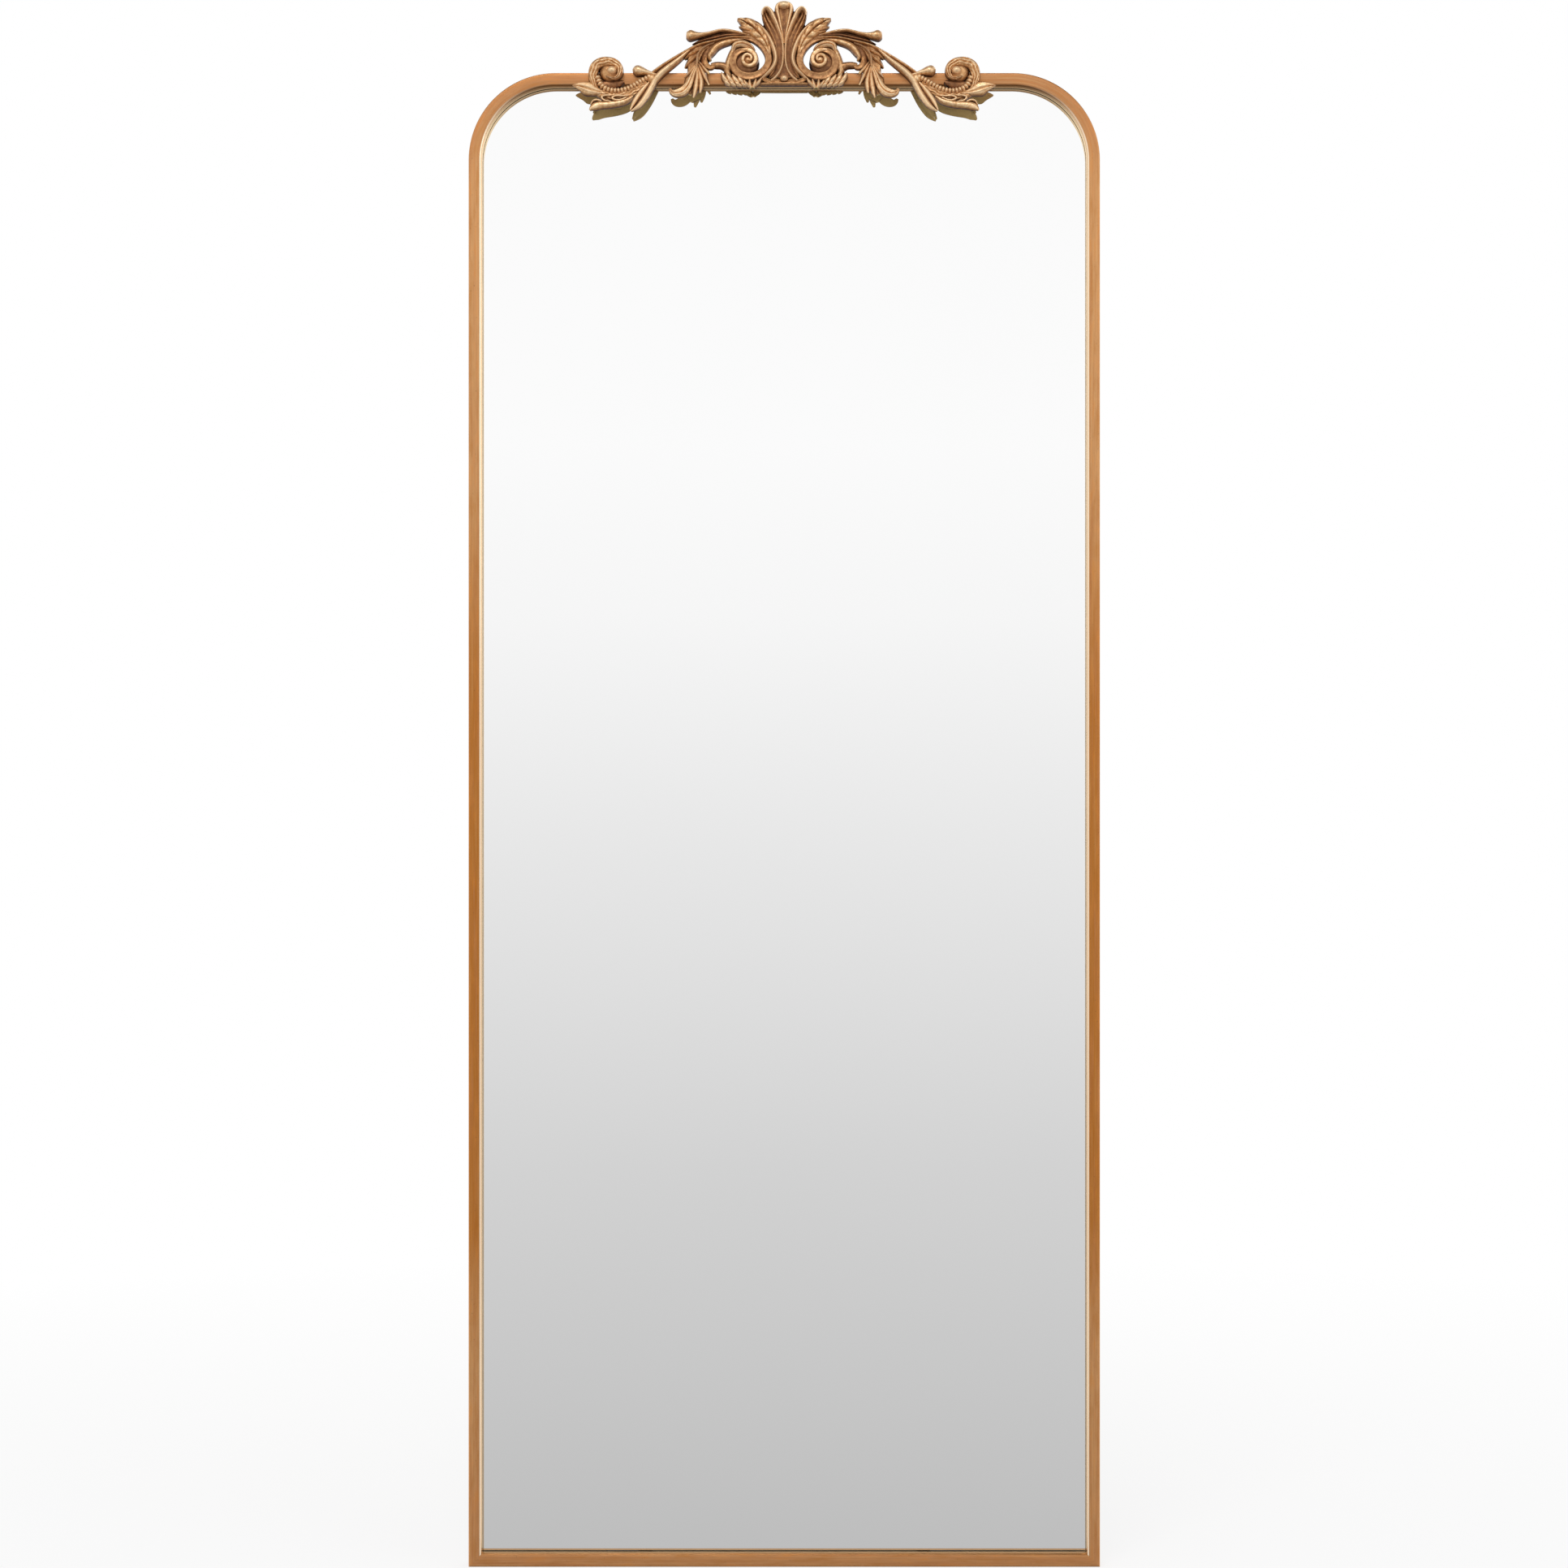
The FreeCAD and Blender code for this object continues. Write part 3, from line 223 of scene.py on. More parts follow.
CURL_CUP = (
    (96, 29, 3, 0.5), (97, 22.5, 5.4, 0.68), (95, 16.6, 7, 0.74), (90, 14.6, 6.4, 0.74),
    (85.6, 17.6, 4, 0.66), (83.6, 21, 2, 0.5),
)
BRIDGE = (
    (90, 17.4, 7, 0.46), (83, 17.8, 9.6, 0.54), (77, 17.4, 10, 0.52), (71.6, 15.6, 12.5, 0.54),
    (66, 13.6, 13, 0.5),
)
CURL_WEB = (
    (74, 46, 5, 0.32), (86, 42.4, 11, 0.36), (94.6, 34.6, 13, 0.38), (98, 24, 12, 0.38),
    (98.6, 13, 8, 0.36),
)
OUTER_RING = (
    (59.6, 43, 5, 0.5), (63, 35.6, 8, 0.58), (66.4, 27.4, 9, 0.6), (69, 18.4, 9.5, 0.58), (70, 10, 9, 0.52),
    (66, 3.6, 5, 0.46),
)
RUFFLE = (
    ((69, -4, 5, 0.6), (74, 1.2, 7.2, 0.74), (77, 8, 2.4, 0.56)),
    ((62.4, -5, 5, 0.62), (67.4, 0.2, 8, 0.78), (70.6, 6.8, 2.6, 0.58)),
    ((55.6, -5.6, 5, 0.64), (60.4, -0.8, 8, 0.8), (63.8, 5.2, 2.6, 0.6)),
    ((49.4, -6, 5, 0.64), (53.6, -2, 7.4, 0.8), (56.8, 3.2, 2.4, 0.6)),
    ((66.4, -8, 4, 0.56), (70.4, -5, 6.4, 0.72), (74.4, -1.4, 2.2, 0.56)),
    ((59.4, -8.8, 4, 0.58), (63.6, -6.2, 6.6, 0.74), (67.8, -2.8, 2.2, 0.58)),
    ((52.4, -9.2, 4, 0.6), (56.6, -7, 6.6, 0.76), (60.8, -3.8, 2.2, 0.6)),
    ((46, -9.4, 4, 0.6), (49.8, -7.4, 6.2, 0.76), (53.6, -4.4, 2.2, 0.6)),
)
RUFFLE_LEDGE = (
    (42, -7, 5, 0.46), (54, -6.6, 7, 0.5), (65, -4.4, 7, 0.5), (72.6, -1, 5.4, 0.46), (76.6, 2.8, 2, 0.4),
)
TUFT = (
    ((41.8, -10.5, 5.6, 0.72), (46.2, -7, 6, 0.84), (49.4, -2.4, 2.2, 0.74)),
    ((40.4, -11.8, 6, 0.74), (42, -7.4, 6.4, 0.88), (42.4, -1.6, 2.2, 0.76)),
    ((38.4, -11.4, 6, 0.74), (36.4, -7, 6.4, 0.88), (34.6, -1.2, 2.2, 0.76)),
    ((36.4, -9.6, 5.6, 0.72), (31.8, -5, 6, 0.84), (27.6, 0.6, 2.2, 0.74)),
)
BASE_FOOT = (
    (4.6, -4.8, 4, 0.6), (9, -2.9, 5.8, 0.7), (13.6, -4.4, 5, 0.66), (18.8, -3.2, 6, 0.72),
    (23.8, -1, 6.2, 0.74), (28.4, 2.8, 4, 0.62),
)
POD_FLOOR = ((166, -8, 6, 0.5), (172, -17, 9, 0.52), (179, -28, 8, 0.54), (186, -38, 4, 0.56))
POD_LEFT = (
    (166, -5, 3.5, 0.72), (171.2, -11, 6, 0.84), (177.6, -19.4, 7, 0.88), (183.8, -29.2, 6.2, 0.9),
    (189, -39.8, 2.4, 0.82),
)
POD_RIGHT = (
    (160, -4, 8.5, 0.82), (163, -10, 8.5, 0.86), (167.4, -18.4, 8.4, 0.9), (173.4, -28, 7.8, 0.92),
    (180.6, -36.6, 6, 0.92), (188.2, -41.8, 2, 0.84),
)
SPROUT = (
    (156, 4.6, 5, 0.6), (166, 7.4, 7, 0.7), (173.4, 9.4, 11, 0.8), (179.6, 10.6, 14.6, 0.86),
    (184, 10.8, 11.6, 0.7), (186.4, 10.6, 5, 0.48),
)
BEAD_LINE = (
    (166, 2.6, 4, 0.74), (175.4, -2.5, 4, 0.78), (184.3, -8.2, 4, 0.82), (193.2, -12.6, 4, 0.84),
    (203.9, -15, 4, 0.84), (214.6, -14, 4, 0.84), (224.9, -8, 4, 0.82), (229.6, 1.6, 4, 0.8),
)
GARLAND_BODY = (
    (169, -4, 10, 0.42), (183, -13.5, 13, 0.5), (195, -19.5, 13, 0.54), (208, -22, 14, 0.56),
    (221, -20, 14, 0.54), (231, -15, 10, 0.46),
)
SNAIL_BAND = (
    (229, -14, 5, 0.5), (234.4, -5, 9, 0.62), (235.4, 5, 12, 0.72), (232.8, 14.8, 13.4, 0.78),
    (225.6, 20.6, 13.2, 0.82), (216, 21.8, 12.4, 0.84), (207.4, 19.2, 11.2, 0.86), (202.6, 13, 9.6, 0.87),
    (202.4, 5.6, 7.6, 0.87), (206.4, 1.2, 6, 0.84), (213, 0.8, 4.6, 0.8), (219, 3.2, 2.4, 0.7),
)
SNAIL_WEB = (
    (228, -5, 6, 0.3), (220, -6.5, 12, 0.34), (211, -6.5, 14, 0.36), (203, -5, 11, 0.34), (197, -3, 4, 0.3),
)
OUTER_LEAF = (
    (224, -17, 7, 0.56), (233, -15.4, 15, 0.7), (242, -12.6, 19, 0.8), (250, -10.6, 14, 0.88),
    (256, -9.8, 6.6, 0.9), (260, -9.4, 1.4, 0.84),
)
LOWER_LEAF = (
    (186, -22, 5, 0.6), (194, -27.4, 8.5, 0.72), (204, -30.8, 9.5, 0.8), (216, -32.8, 10, 0.84),
    (227, -34, 11, 0.88), (235, -37, 9.4, 0.9), (239, -40.4, 2.4, 0.84),
)
LEAF_LOOPS = (
    ((191.5, -21, 3, 0.62), (200, -22.2, 4, 0.8), (208, -22.4, 4, 0.84), (211.4, -25, 3.5, 0.86),
     (207, -27.4, 3.5, 0.86), (199, -26.4, 3, 0.82), (194, -24, 2.4, 0.74)),
    ((213, -21.6, 3, 0.7), (219, -21.6, 3.5, 0.82), (224, -24, 3.5, 0.86), (221.5, -27.6, 3.2, 0.88),
     (216, -29, 3, 0.88), (212, -30, 2, 0.8)),
    ((237.4, -33, 2.4, 0.84), (234.6, -28.6, 3.5, 0.88), (229, -27.5, 3.5, 0.88), (224.6, -29.4, 2.6, 0.86)),
)

# Crest drawing, on the middle line.
MIDDLE_CHANNEL = (
    (0, 92, 6, 0.5), (0, 88, 13, 0.56), (0, 80, 13, 0.56), (0, 70, 9.5, 0.54), (0, 58, 5, 0.5),
    (0, 46, 2, 0.46),
)
PALMETTE_WEB = (
    (0, 88, 20, 0.3), (0, 80, 40, 0.36), (0, 68, 52, 0.38), (0, 56, 54, 0.4), (0, 40, 42, 0.4),
    (0, 22, 34, 0.38), (0, 2, 46, 0.38),
)
BASE_BAR = (
    (-29, -6, 5, 0.5), (-15, -5.6, 6, 0.54), (0, -5.6, 6, 0.56), (15, -5.6, 6, 0.54), (29, -6, 5, 0.5),
)

# Round bosses: (out, up, radius, rise).
SCROLL_FLOOR = (50, 20, 19.5, 0.44)
SNAIL_FLOOR = (214.6, 9.6, 13.6, 0.58)
SCROLL_EYE = (44.2, 23.2, 7, 0.86)
SNAIL_EYE = (211.8, 10.4, 7.6, 1)
STEM_KNOT = (162.5, 0.5, 8, 0.72)
TOP_KNOB = (0, 92.2, 9.4, 1)
BOTTOM_BEAD = (0, 0.6, 5.6, 0.86)

HOOD = HOOD_RIM + tuple((-out, *rest) for out, *rest in HOOD_RIM[-2::-1])
BEAD_BED = tuple((out, up, width, BED_RISE * rise) for out, up, width, rise in BEAD_LINE)


# Settings

def length_setting(name, description, default, **more):
    """A length in metres."""
    return FloatProperty(name=name, description=description, default=default, subtype="DISTANCE", **more)


def plain_setting(name, description, default, **more):
    """A number without a unit, or in the crest drawing's millimetres."""
    return FloatProperty(name=name, description=description, default=default, **more)


def colour_setting(name, description, default):
    """A colour in linear light."""
    return FloatVectorProperty(name=name, description=description, default=default, subtype="COLOR")


class MirrorSizes(bpy.types.PropertyGroup):
    """Sizes that the CAD boxes do not give."""

    corner_radius: length_setting("Corner Radius", "Outside radius of the frame's top corners", 0.107)
    edge_radius: length_setting("Tube Edge", "Rounding along the tube's edges", 0.0014)
    sight_radius: length_setting("Sight Edge", "Rounding of the front edge next to the glass", 0.0030)
    glass_bevel: length_setting("Glass Bevel", "Ground edge round the glass", 0.0002)
    glass_gap: length_setting("Glass Gap", "From the glass to the tube, at the sides and the head", 0.0002)
    crest_reach: plain_setting("Crest Reach", "Half the width of the drawn crest in millimetres", 260.0)
    crest_foot: plain_setting("Crest Foot", "Lowest point of the crest's drawing in millimetres", -42.45)
    crest_top: plain_setting("Crest Top", "Highest point of the crest's drawing in millimetres", 98.27)
    back_step: length_setting(
        "Back Step", "From one form's back to the next, so no two lie in one plane", 0.000008, precision=6)
    bead_count: IntProperty(name="Beads", description="Beads on each garland", default=19, min=2)
    camera_height: length_setting("Camera Height", "Height of the lens above the floor", 0.9157)
    camera_distance: length_setting("Camera Distance", "From the lens to the frame's front", 4.2)
    camera_side: length_setting("Camera Side", "Lens to the right of the middle line", 0.04375)
    picture_width: length_setting("Picture Width", "Width of the picture at the frame's front", 1.932)
    shift_across: plain_setting("Shift Across", "Lens shift as a share of the picture", -0.0228, precision=4)
    shift_up: plain_setting("Shift Up", "Lens shift as a share of the picture", 0.0254, precision=4)


class MirrorColours(bpy.types.PropertyGroup):
    """Colours of the finishes, in linear light."""

    brass_pale: colour_setting("Pale Brass", "Worn brass on the frame", (0.60, 0.315, 0.135))
    brass_deep: colour_setting("Deep Brass", "Golden brass at the middle height", (0.45, 0.142, 0.010))
    brass_copper: colour_setting("Copper Streak", "Reddish brushing in the brass", (0.48, 0.185, 0.075))
    brass_rubbed: colour_setting("Rubbed Brass", "Fine bright brush lines", (0.82, 0.52, 0.25))
    # Painted highlight: the cream of the stiles' inner edge stands in for reflected light.
    brass_painted_highlight: colour_setting("Highlight Brass", "Edge at the glass, painted bright", (0.95, 0.80, 0.60))
    # Painted shade: the head rail darker than the stiles, where less light falls.
    brass_head_shade: colour_setting("Head Shade Brass", "Head rail behind the crest", (0.316, 0.129, 0.062))
    # Painted shade: dark on the rails' sight edge and in the gap behind the glass.
    brass_shaded: colour_setting("Shaded Brass", "Edge at the glass, painted dark", (0.085, 0.042, 0.012))
    brass_speck: colour_setting("Brass Speck", "Dark pits in the brass", (0.12, 0.055, 0.03))
    brass_graze: colour_setting("Brass Graze", "Tint of reflections at a low angle", (1.0, 0.84, 0.58))
    # The crest's ramp from highlight to patina is partly real rubbing and patina, partly painted highlight on
    # the ridges and painted shade in the crevices.
    cast_light: colour_setting("Cast Highlight", "Rubbed ridges of the crest", (0.86, 0.61, 0.36))
    cast_middle: colour_setting("Cast Body", "Slopes of the crest", (0.60, 0.33, 0.14))
    cast_umber: colour_setting("Cast Umber", "Lower slopes of the crest", (0.28, 0.12, 0.045))
    cast_dark: colour_setting("Cast Patina", "Hollows of the crest", (0.055, 0.024, 0.016))
    cast_back: colour_setting("Cast Back", "Unrubbed back of the crest", (0.64, 0.45, 0.18))
    silver: colour_setting("Silver", "Silvered glass", (0.97, 0.97, 0.97))
    silver_clear: colour_setting("Clear Silver", "Brightest places in the silver", (0.985, 0.985, 0.985))
    board: colour_setting("Board", "Brown fibre board", (0.23, 0.135, 0.07))
    zinc: colour_setting("Zinc", "Zinc plated steel", (0.62, 0.64, 0.66))
    zinc_warm: colour_setting("Warm Zinc", "Yellowish clouds in the zinc", (0.66, 0.66, 0.62))
    zinc_cool: colour_setting("Cool Zinc", "Bluish clouds in the zinc", (0.52, 0.55, 0.60))
    packer: colour_setting("Packer", "Black plastic packers", (0.05, 0.05, 0.05))
    rubber: colour_setting("Rubber", "Black rubber", (0.018, 0.018, 0.018))
    foam: colour_setting("Foam", "White foam tape", (0.72, 0.72, 0.69))
    floor: colour_setting("Floor", "Pale studio floor", (0.86, 0.86, 0.86))


# Materials

def node(tree, kind, inputs=None, **settings):
    """Adds a shader node; an input that is a socket is linked, any other is set."""
    made = tree.nodes.new(kind)
    for key, value in settings.items():
        setattr(made, key, value)
    for key, value in (inputs or {}).items():
        if isinstance(value, bpy.types.NodeSocket):
            tree.links.new(value, made.inputs[key])
        else:
            made.inputs[key].default_value = value
    return made


def ramp(tree, factor, stops):
    """A colour ramp through (place, colour) stops."""
    made = node(tree, "ShaderNodeValToRGB", {"Fac": factor})
    points = made.color_ramp.elements
    while len(points) < len(stops):
        points.new(0.5)
    for point, (place, colour) in zip(points, stops):
        point.position = place
        point.color = (*colour, 1.0)
    return made.outputs["Color"]


def grey(value):
    """The same value in all three channels."""
    return (value, value, value)


def scaled(colour, share):
    """A colour made darker or lighter, up to full."""
    return tuple(min(1.0, share * part) for part in colour)


def mixed(tree, factor, first, second):
    """Two colours mixed by a factor; the mix node's colours are its seventh and eighth inputs."""
    pair = [value if isinstance(value, bpy.types.NodeSocket) else (*value, 1.0) for value in (first, second)]
    made = node(tree, "ShaderNodeMix", {0: factor, 6: pair[0], 7: pair[1]}, data_type="RGBA")
    return made.outputs[2]


def maths(tree, operation, *values):
    """One step of arithmetic on sockets or numbers."""
    return node(tree, "ShaderNodeMath", dict(enumerate(values)), operation=operation).outputs[0]


def carried(tree, name):
    """A value that the mesh carries at its points."""
    return node(tree, "ShaderNodeAttribute", attribute_name=name).outputs["Fac"]


def noise(tree, vector, scale, detail, roughness, stretch=(1, 1, 1)):
    """Fractal noise, its pattern squeezed by stretch along each axis."""
    moved = node(tree, "ShaderNodeMapping", {"Vector": vector, "Scale": stretch})
    made = node(tree, "ShaderNodeTexNoise", {
        "Vector": moved.outputs["Vector"], "Scale": scale, "Detail": detail, "Roughness": roughness})
    return made.outputs["Fac"]


def remapped(tree, value, low, high, to_low, to_high):
    """A value's range carried to another, clamped."""
    made = node(tree, "ShaderNodeMapRange", {
        "Value": value, "From Min": low, "From Max": high, "To Min": to_low, "To Max": to_high})
    return made.outputs["Result"]


def new_material(name, **constants):
    """A node material with its principled shader wired to the output and that shader's constants set.

    In a constant's name, _ stands for a space.
    """
    material = bpy.data.materials.new(name)
    material.use_nodes = True
    tree = material.node_tree
    tree.nodes.clear()
    fixed = {key.replace("_", " "): value for key, value in constants.items()}
    shader = node(tree, "ShaderNodeBsdfPrincipled", fixed)
    node(tree, "ShaderNodeOutputMaterial", {"Surface": shader.outputs["BSDF"]})
    return material, tree, shader, node(tree, "ShaderNodeTexCoord")


def wire(tree, shader, **sockets):
    """Links node outputs to the shader's sockets by name, with _ for a space."""
    for key, value in sockets.items():
        tree.links.new(value, shader.inputs[key.replace("_", " ")])


def bumped(tree, shader, height, strength, distance):
    """Bends the shader's normal by a height."""
    made = node(tree, "ShaderNodeBump", {"Height": height, "Strength": strength, "Distance": distance})
    wire(tree, shader, Normal=made.outputs["Normal"])


def brushed_brass(colours):
    """Aged brass brushed lengthwise: streaks and clouds along the tube's own run, specks, a golden middle,
    painted shade on the head rail and the rails' sight edge, and a painted highlight on the stiles' inner
    edge.
    """
    material, tree, shader, place = new_material(
        "brushed_antique_brass", Metallic=0.85, Specular_Tint=(*colours.brass_graze, 1.0))
    run = place.outputs["UV"]
    spot = place.outputs["Object"]
    fine = noise(tree, run, 1.0, 5.0, 0.6, stretch=(14, 2600, 1))
    broad = noise(tree, run, 1.0, 3.0, 0.5, stretch=(6, 420, 1))
    blotch = noise(tree, run, 1.0, 4.0, 0.6, stretch=(22, 140, 1))
    cloud = noise(tree, spot, 5.0, 3.0, 0.5)
    speck = noise(tree, spot, 420.0, 2.0, 0.5)
    polish_and_painted_highlight = carried(tree, "polish_and_painted_highlight")
    height = node(tree, "ShaderNodeSeparateXYZ", {"Vector": spot}).outputs["Z"]
    wander = maths(tree, "ADD", height, remapped(tree, cloud, 0, 1, -0.12, 0.12))
    above = remapped(tree, wander, *GOLD_COMES, 0.0, 1.0)
    below = remapped(tree, wander, *GOLD_GOES, 1.0, 0.0)
    # Each layer is mixed over those before it.
    layers = (
        (maths(tree, "MULTIPLY", above, below), colours.brass_deep),
        # Painted shade over the head rail.
        (remapped(tree, height, *HEAD_SHADE_COMES, 0.0, 0.62), colours.brass_head_shade),
        (remapped(tree, height, *COPPER_GOES, 0.42, 0.0), colours.brass_copper),
        (remapped(tree, broad, 0.45, 0.75, 0.0, 0.8), colours.brass_copper),
        (remapped(tree, broad, 0.28, 0.48, 0.20, 0.0), colours.brass_rubbed),
        (remapped(tree, blotch, 0.42, 0.66, 0.0, 0.5), colours.brass_deep),
        (remapped(tree, blotch, 0.34, 0.50, 0.36, 0.0), scaled(colours.brass_deep, 1.45)),
        (remapped(tree, fine, 0.35, 0.8, 0.0, 0.26), colours.brass_rubbed),
        (remapped(tree, speck, 0.70, 0.78, 0.0, 0.5), colours.brass_speck),
        # Painted shade on the rails' sight edge and in the gap at the glass, then the painted highlight on
        # the stiles' inner edge.
        (carried(tree, "shade"), colours.brass_shaded),
        (polish_and_painted_highlight, colours.brass_painted_highlight),
    )
    body = colours.brass_pale
    for factor, layer in layers:
        body = mixed(tree, factor, body, layer)
    dull = remapped(tree, fine, 0.25, 0.75, 0.30, 0.46)
    rough = maths(tree, "MULTIPLY", dull, remapped(tree, polish_and_painted_highlight, 0, 1, 1.0, 0.3))
    wire(tree, shader, Base_Color=body, Roughness=rough)
    brushing = maths(tree, "MULTIPLY", fine, remapped(tree, polish_and_painted_highlight, 0, 1, 1.0, 0.1))
    bumped(tree, shader, brushing, 0.12, 0.0004)
    return material


def cast_brass(colours):
    """Cast brass: pale on the ridges, as rubbed brass with a painted highlight, and dark in the hollows, as
    patina with painted crevice shade, by the hollow attribute and a mottle.
    """
    material, tree, shader, place = new_material("patinated_cast_brass", Metallic=0.6)
    spot = place.outputs["Object"]
    mottle = noise(tree, spot, 240.0, 5.0, 0.62)
    grain = noise(tree, spot, 900.0, 2.0, 0.5)
    depth = maths(tree, "ADD", carried(tree, "hollow"), remapped(tree, mottle, 0.25, 0.75, -0.17, 0.17))
    patina = ramp(tree, depth, (
        (0.03, colours.cast_light), (0.20, colours.cast_middle), (0.46, colours.cast_umber),
        (0.78, colours.cast_dark)))
    wire(tree, shader, Base_Color=patina, Roughness=remapped(tree, mottle, 0.2, 0.8, 0.36, 0.54))
    bumped(tree, shader, grain, 0.25, 0.0004)
    return material


def silvered_glass(colours):
    """Silvered glass: a clean mirror with a trace of unevenness in the silver."""
    material, tree, shader, place = new_material("silvered_glass", Metallic=1.0, Roughness=0.0)
    drift = noise(tree, place.outputs["Object"], 3.0, 2.0, 0.5)
    wire(tree, shader, Base_Color=mixed(tree, drift, colours.silver, colours.silver_clear))
    return material


def fibre_board(colours):
    """Pressed fibre board: a felted speckle of short brown fibres."""
    material, tree, shader, place = new_material("fibre_board", Roughness=0.82)
    spot = place.outputs["Object"]
    felt = noise(tree, spot, 420.0, 5.0, 0.7, stretch=(1, 1, 0.35))
    cloud = noise(tree, spot, 9.0, 3.0, 0.5)
    dark = scaled(colours.board, 0.62)
    body = ramp(tree, felt, ((0.30, dark), (0.52, colours.board), (0.72, scaled(colours.board, 1.45))))
    stained = mixed(tree, remapped(tree, cloud, 0.3, 0.7, 0.0, 0.35), body, dark)
    wire(tree, shader, Base_Color=stained)
    bumped(tree, shader, felt, 0.3, 0.0003)
    return material


def sprayed_brass(colours):
    """Steel sprayed with the frame: brass colour with the orange peel of a spray coat."""
    material, tree, shader, place = new_material("sprayed_brass", Metallic=0.75)
    spot = place.outputs["Object"]
    peel = noise(tree, spot, 700.0, 3.0, 0.5)
    cloud = noise(tree, spot, 30.0, 3.0, 0.5)
    body = mixed(tree, cloud, colours.brass_pale, colours.brass_copper)
    wire(tree, shader, Base_Color=body, Roughness=remapped(tree, cloud, 0.2, 0.8, 0.38, 0.55))
    bumped(tree, shader, peel, 0.15, 0.0003)
    return material


def zinc_plate(colours):
    """Zinc plating: cool grey with a faint cloudy passivated tint."""
    material, tree, shader, place = new_material("zinc_plated_steel", Metallic=1.0)
    cloud = noise(tree, place.outputs["Object"], 180.0, 4.0, 0.6)
    tint = ramp(tree, cloud, ((0.3, colours.zinc), (0.5, colours.zinc_warm), (0.7, colours.zinc_cool)))
    wire(tree, shader, Base_Color=tint, Roughness=remapped(tree, cloud, 0.2, 0.8, 0.24, 0.42))
    return material


def grained(name, colour, scale, roughness, shades=((0.3, 0.7), (0.7, 1.25)), strength=0.3, **constants):
    """A matt finish with a fine pitted grain, shaded by (place, share of the colour) stops."""
    material, tree, shader, place = new_material(name, Roughness=roughness, **constants)
    pits = noise(tree, place.outputs["Object"], scale, 3.0, 0.6)
    stops = [(at, scaled(colour, share)) for at, share in shades]
    wire(tree, shader, Base_Color=ramp(tree, pits, stops))
    bumped(tree, shader, pits, strength, 0.0003)
    return material


# Surfaces

def capped_tube_faces(rows, columns, first=0):
    """A tube's quads between neighbouring rows, and a flat face at each end; its points count from first."""
    corner = first + np.arange(rows * columns).reshape(rows, columns)
    following = np.roll(corner, -1, axis=1)
    quads = np.stack((corner[:-1], following[:-1], following[1:], corner[1:]), axis=-1)
    return quads.reshape(-1, 4).tolist() + corner[[0, -1]].tolist()


def lengths_along(points):
    """Distance from the first point to each, along the points."""
    return np.concatenate(([0], np.cumsum(np.hypot(*np.diff(points, axis=0).T))))


def natural_spline(knots, values, places):
    """Natural cubic spline: bends at the knots solve one banded system, and each span is its cubic."""
    step = np.diff(knots)
    slope = np.diff(values, axis=0) / step[:, None]
    inner = np.arange(1, len(knots) - 1)
    system = np.eye(len(knots))
    system[inner, inner - 1] = step[:-1]
    system[inner, inner] = 2 * (step[:-1] + step[1:])
    system[inner, inner + 1] = step[1:]
    load = np.zeros_like(values)
    load[1:-1] = 6 * np.diff(slope, axis=0)
    bend = np.linalg.solve(system, load)
    span = np.clip(np.searchsorted(knots, places, side="right") - 1, 0, len(knots) - 2)
    width = step[span][:, None]
    ahead = (knots[span + 1] - places)[:, None]
    behind = (places - knots[span])[:, None]
    arcs = (bend[span] * ahead**3 + bend[span + 1] * behind**3) / (6 * width)
    start = (values[span] / width - bend[span] * width / 6) * ahead
    end = (values[span + 1] / width - bend[span + 1] * width / 6) * behind
    return arcs + start + end


def arc_points(centre, radius, start, end, count):
    """Points on a circle between two angles in degrees."""
    angle = np.radians(np.linspace(start, end, count))
    return np.stack((centre[0] + radius * np.cos(angle), centre[1] + radius * np.sin(angle)), axis=1)


def rounded_profile(width, depth, radii):
    """A rectangle with four round corners, anticlockwise, as (across, depth) about its middle."""
    signs = ((1, 1), (-1, 1), (-1, -1), (1, -1))
    arcs = []
    for turn, (right, back), radius in zip((0, 90, 180, 270), signs, radii):
        centre = (right * (width / 2 - radius), back * (depth / 2 - radius))
        arcs.append(arc_points(centre, radius, turn, turn + 90, PROFILE_STEPS))
    return np.concatenate(arcs)


def marked(count, first, values):
    """Zeros round a profile, but the values from its first point on."""
    made = np.zeros(count)
    made[first:first + len(values)] = values
    return made


def new_piece(name, points, faces, materials, replaced, uv=None, marks=None, behind=None, sharp=40.0):
    """Makes a mesh object from arrays, merges its poles, turns faces outwards and rides it on the frame.

    Faces marked behind take the second material; marks are named values at the points.
    """
    mesh = bpy.data.meshes.new(name)
    mesh.from_pydata(points.reshape(-1, 3).tolist(), [], faces)
    for material in materials:
        mesh.materials.append(material)
    if behind is not None:
        mesh.polygons.foreach_set("material_index", behind.astype(np.int32))
    for mark, values in (marks or {}).items():
        attribute = mesh.attributes.new(mark, "FLOAT", "POINT")
        attribute.data.foreach_set("value", values.ravel().astype(np.float32))
    if uv is not None:
        corner = np.zeros(len(mesh.loops), np.int32)
        mesh.loops.foreach_get("vertex_index", corner)
        layer = mesh.uv_layers.new(name="run")
        layer.data.foreach_set("uv", uv.reshape(-1, 2)[corner].astype(np.float32).ravel())
    shape = bmesh.new()
    shape.from_mesh(mesh)
    bmesh.ops.remove_doubles(shape, verts=shape.verts, dist=MERGE_DISTANCE)
    bmesh.ops.recalc_face_normals(shape, faces=shape.faces)
    shape.to_mesh(mesh)
    shape.free()
    mesh.shade_smooth()
    mesh.set_sharp_from_angle(angle=np.radians(sharp))
    made = bpy.data.objects.new(name, mesh)
    bpy.context.scene.collection.objects.link(made)
    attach(made, MAIN_BODY)
    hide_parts(*replaced)


def dress(material, *names):
    """Gives CAD nodes a finished material in place of their plain one."""
    for name in names:
        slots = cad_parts[name].data.materials
        slots.clear()
        slots.append(material)


